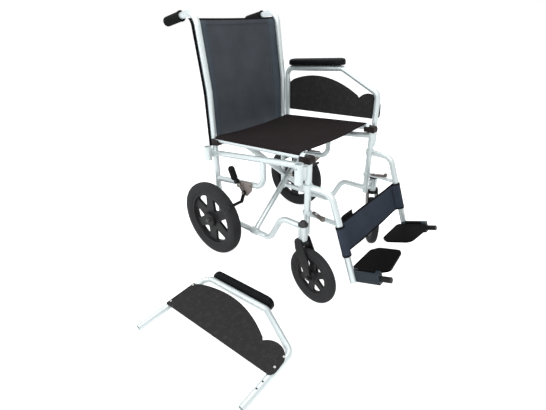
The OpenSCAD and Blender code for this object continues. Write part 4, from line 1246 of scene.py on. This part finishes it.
@dataclass
class Armrests:
    """The pads, guards and guard screws of both armrests, one fitted and one laid on the floor."""

    datum: Datum
    rear_leg_y: float = 224.0
    rear_leg_low: float = 388.0
    front_leg_y: float = -214.0
    front_leg_low: float = 411.0
    rise: float = 16.0
    run: float = 276.0
    socket_x: float = 244.0
    laid_at: tuple[float, float, float] = (-731.0, 48.0, 11.0)
    laid_turn: float = 1.0
    laid_tilt: float = 3.03
    head_radius: float = 4.1
    sheet_in: float = -11.35
    sheet_out: float = -14.3
    screws: tuple[Point, ...] = ((224, 612), (224, 516), (-214, 586), (-214, 545))
    head: tuple[Point, ...] = ((-14.1, 1.0), (-15.3, 0.98), (-16.0, 0.82), (-16.4, 0.5), (-16.5, 0.2),
                               (-15.7, 0.1))

    def placing(self, side: Side) -> Matrix:
        """Matrix from an armrest's own upright frame, outer side to -X, to the chair's millimetres.

        Args:
            side: Side of the armrest; the right one lies on the floor.

        Returns:
            The placing matrix.
        """
        if side is Side.LEFT:
            return Matrix.Scale(-1, 4, (1, 0, 0)) @ Matrix.Translation((-self.socket_x, 0, 0))
        skew = math.atan2(self.front_leg_low - self.rear_leg_low, self.rear_leg_y - self.front_leg_y)
        turn = math.radians(self.laid_turn) + skew
        return (Matrix.Translation(self.laid_at) @ Matrix.Rotation(turn, 4, "Z")
                @ Matrix.Rotation(-math.radians(self.laid_tilt), 4, "Y") @ Matrix.Rotation(-skew, 4, "Z")
                @ Matrix.Rotation(math.pi / 2, 4, "Y")
                @ Matrix.Translation((0, -self.rear_leg_y, -self.rear_leg_low)))

    def placed(self, side: Side, spots: Iterable[Sequence[float]]) -> list[Vector]:
        """Row-frame points of places in an armrest's own frame."""
        place = self.placing(side)
        return [self.datum.at(*(place @ Vector(spot))) for spot in spots]

    def pad(self, side: Side) -> None:
        """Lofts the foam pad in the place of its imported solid."""
        node = f"{side.word}_arm_pad"
        turn = self.placing(side).to_3x3()
        slope = math.degrees(math.atan2(self.rise, self.run))
        along, up = ((turn @ lean(angle)).normalized() for angle in (-slope, 90 - slope))
        points = [v.co for v in frame["nodes"][node].data.vertices]
        centre = Vector()
        for way, share in ((along, 0.5), (up.cross(along), 0.5), (up, 0.0)):
            reach = [p.dot(way) for p in points]
            centre += way * (min(reach) + (max(reach) - min(reach)) * share)
        ArmPad(node, f"{side.word}_armrest", along, up, centre).build()

    def inset(self, outline: Sequence[Point], by: float) -> list[Point]:
        """Moves an outline inwards along its normals.

        Args:
            outline: Closed outline, walked as Guard.outline does.
            by: Distance in millimetres.

        Returns:
            The moved outline.
        """
        area = sum(a[0] * b[1] - b[0] * a[1] for a, b in zip(outline, [*outline[1:], outline[0]]))
        sign = 1 if area > 0 else -1
        moved = []
        for i, (y, z) in enumerate(outline):
            before, after = outline[i - 1], outline[(i + 1) % len(outline)]
            way = Vector((after[0] - before[0], after[1] - before[1])).normalized()
            moved.append((y - way.y * by * sign, z + way.x * by * sign))
        return moved

    def guard(self, side: Side) -> None:
        """Builds the guard sheet with rounded edges and its pressed nose ridge."""
        shape = Guard()
        layers = ((self.sheet_in, 0.9), (self.sheet_in - 0.35, 0.25), (self.sheet_in - 0.9, 0.0),
                  (self.sheet_out + 0.9, 0.0), (self.sheet_out + 0.35, 0.25), (self.sheet_out, 0.9))
        outline = shape.outline()
        sheet = loft("sheet", [self.placed(side, ((x, y, z) for y, z in self.inset(outline, by)))
                               for x, by in layers])
        path = shape.ridge()
        rings = []
        for i, (y, z) in enumerate(path):
            thin = 0.25 + 0.75 * math.sin(math.pi * i / (len(path) - 1))
            out = Vector((0, y - shape.nose_y, z - shape.nose_z)).normalized()
            ring = circle(Vector((self.sheet_out + 0.2, y, z)), out * 1.6, CROSSWISE * -1.1 * thin, 10)
            rings.append(self.placed(side, ring))
        whole = faced(joined(f"{side.word}_guard_sheet", [sheet, loft("ridge", rings)]))
        for polygon in whole.data.polygons:
            polygon.use_smooth = len(polygon.vertices) < 20
        wear(whole, GUARD_SHEET)
        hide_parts(f"{side.word}_arm_guard")
        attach(whole, f"{side.word}_armrest")
        log.info("%s rides on %s_armrest", whole.name, side.word)

    def screw_heads(self, side: Side) -> None:
        """Presses a bright cross-recessed head over each screw of the guard."""
        heads = []
        for y, z in self.screws:
            rings = []
            for deep, wide in self.head:
                ring = []
                for k in range(24):
                    recess = 0.72 if wide <= 0.2 and k % 6 in (0, 1) else 1.0
                    r, a = self.head_radius * wide * recess, math.tau * k / 24
                    ring.append((deep, y + r * math.cos(a), z + r * math.sin(a)))
                rings.append(self.placed(side, ring))
            heads.append(loft("head", rings))
        whole = wear(faced(joined(f"{side.word}_guard_screws", heads)), PLATED)
        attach(whole, f"{side.word}_armrest")
        log.info("%s ride on %s_armrest", whole.name, side.word)

    def build(self) -> None:
        """Builds the pad, the guard and the screw heads of each armrest."""
        for side in Side:
            self.pad(side)
            self.guard(side)
            self.screw_heads(side)


@dataclass
class Studio:
    """White floor and backdrop, soft lamps and the photograph's camera."""

    datum: Datum
    eye: tuple[float, float, float] = (-1032.4, -806.4, 875.4)
    yaw: float = 48.35
    pitch: float = 28.34
    roll: float = -1.153
    focal_px: float = 346.55
    floor_half: float = 14.0

    def camera(self) -> None:
        """Sets the camera that the photograph was measured with."""
        yaw, pitch, roll = (math.radians(a) for a in (self.yaw, self.pitch, self.roll))
        ahead = Vector((math.sin(yaw) * math.cos(pitch), math.cos(yaw) * math.cos(pitch), -math.sin(pitch)))
        right = Vector((math.cos(yaw), -math.sin(yaw), 0))
        up = right.cross(ahead)
        right, up = right * math.cos(roll) + up * math.sin(roll), up * math.cos(roll) - right * math.sin(roll)
        data = bpy.data.cameras.new("photo_camera")
        data.sensor_fit = "HORIZONTAL"
        data.sensor_width = SENSOR_MM
        data.lens = self.focal_px / PHOTO_WIDTH_PX * SENSOR_MM
        data.clip_start, data.clip_end = 0.01, 60.0
        camera = bpy.data.objects.new("photo_camera", data)
        bpy.context.scene.collection.objects.link(camera)
        turn = Matrix((right, up, -ahead)).transposed().to_4x4()
        camera.matrix_world = Matrix.Translation(self.datum.at(*self.eye)) @ turn
        bpy.context.scene.camera = camera

    def floor(self) -> None:
        """Lays a wide white floor that keeps soft shadows."""
        corners = [Vector((x, y, 0)) * self.floor_half for x, y in ((-1, -1), (1, -1), (1, 1), (-1, 1))]
        floor = mesh_piece("studio_floor", corners, [[0, 1, 2, 3]])
        material = bpy.data.materials.new("studio_floor_white")
        g = Graph.blank(material)
        plain = g.node("ShaderNodeBsdfDiffuse", {"Color": (0.86, 0.86, 0.86)}).outputs[0]
        glow = g.node("ShaderNodeEmission", {"Color": (1, 1, 1), "Strength": 0.8}).outputs[0]
        both = g.node("ShaderNodeAddShader", {0: plain, 1: glow}).outputs[0]
        mixed = g.node("ShaderNodeMixShader", {0: self.seen(g), 1: plain, 2: both}).outputs[0]
        g.node("ShaderNodeOutputMaterial", {"Surface": mixed})
        floor.data.materials.append(material)

    def seen(self, graph: Graph) -> Socket:
        """One where a ray comes from the camera, a mirror or through glass."""
        path = graph.node("ShaderNodeLightPath").outputs
        either = graph.math("MAXIMUM", path["Is Camera Ray"], path["Is Glossy Ray"])
        return graph.math("MAXIMUM", either, path["Is Transmission Ray"])

    def backdrop(self) -> None:
        """Gives the world a white backdrop and a plain, dimmer light."""
        world = bpy.data.worlds.new("studio_world")
        bpy.context.scene.world = world
        g = Graph.blank(world)
        light, white = (g.node("ShaderNodeBackground", {"Color": colour, "Strength": strength}).outputs[0]
                        for colour, strength in (((0.93, 0.96, 1.0), 0.42), ((1, 1, 1), 1.0)))
        mixed = g.node("ShaderNodeMixShader", {0: self.seen(g), 1: light, 2: white}).outputs[0]
        g.node("ShaderNodeOutputWorld", {"Surface": mixed})

    def lamp(self, name: str, place: Sequence[float], size: float, power: float, colour: Colour) -> None:
        """Hangs a square softbox that points at the seat.

        Args:
            name: Name of the lamp.
            place: Place in the chair's millimetres.
            size: Side of the softbox in metres.
            power: Power in watts.
            colour: Colour of the light.
        """
        data = bpy.data.lights.new(name, "AREA")
        data.shape = "SQUARE"
        data.size, data.energy, data.color = size, power, colour
        lamp = bpy.data.objects.new(name, data)
        bpy.context.scene.collection.objects.link(lamp)
        lamp.location = self.datum.at(*place)
        aim = self.datum.at(0, 0, 400) - lamp.location
        lamp.rotation_mode = "QUATERNION"
        lamp.rotation_quaternion = aim.to_track_quat("-Z", "Y")

    def build(self) -> None:
        """Sets up camera, floor, backdrop, lamps and plain colour handling."""
        self.camera()
        self.floor()
        self.backdrop()
        self.lamp("key_softbox", (-1500, -1500, 2400), 1.6, 40.0, (1.0, 0.985, 0.96))
        self.lamp("fill_softbox", (-2200, 900, 1500), 1.8, 23.0, (0.94, 0.97, 1.0))
        self.lamp("top_softbox", (400, 300, 2700), 2.0, 29.0, (1.0, 1.0, 1.0))
        bpy.context.scene.view_settings.view_transform = "Standard"


def main() -> None:
    """Builds the scene, class by class."""
    datum = Datum.measured()
    log.info("chair middle at x %.4f m, seat datum at y %.4f m", datum.middle_x, datum.seat_y)
    Metalwork(datum).dress()
    WeldBeads(datum).build()
    BrakeTrim(datum).build()
    RunningGear().build()
    BackSling(datum).build()
    SeatSling(datum).build()
    for side in Side:
        CalfStrap(datum, side).build()
    Armrests(datum).build()
    Studio(datum).build()


if __name__ == "__main__":
    main()
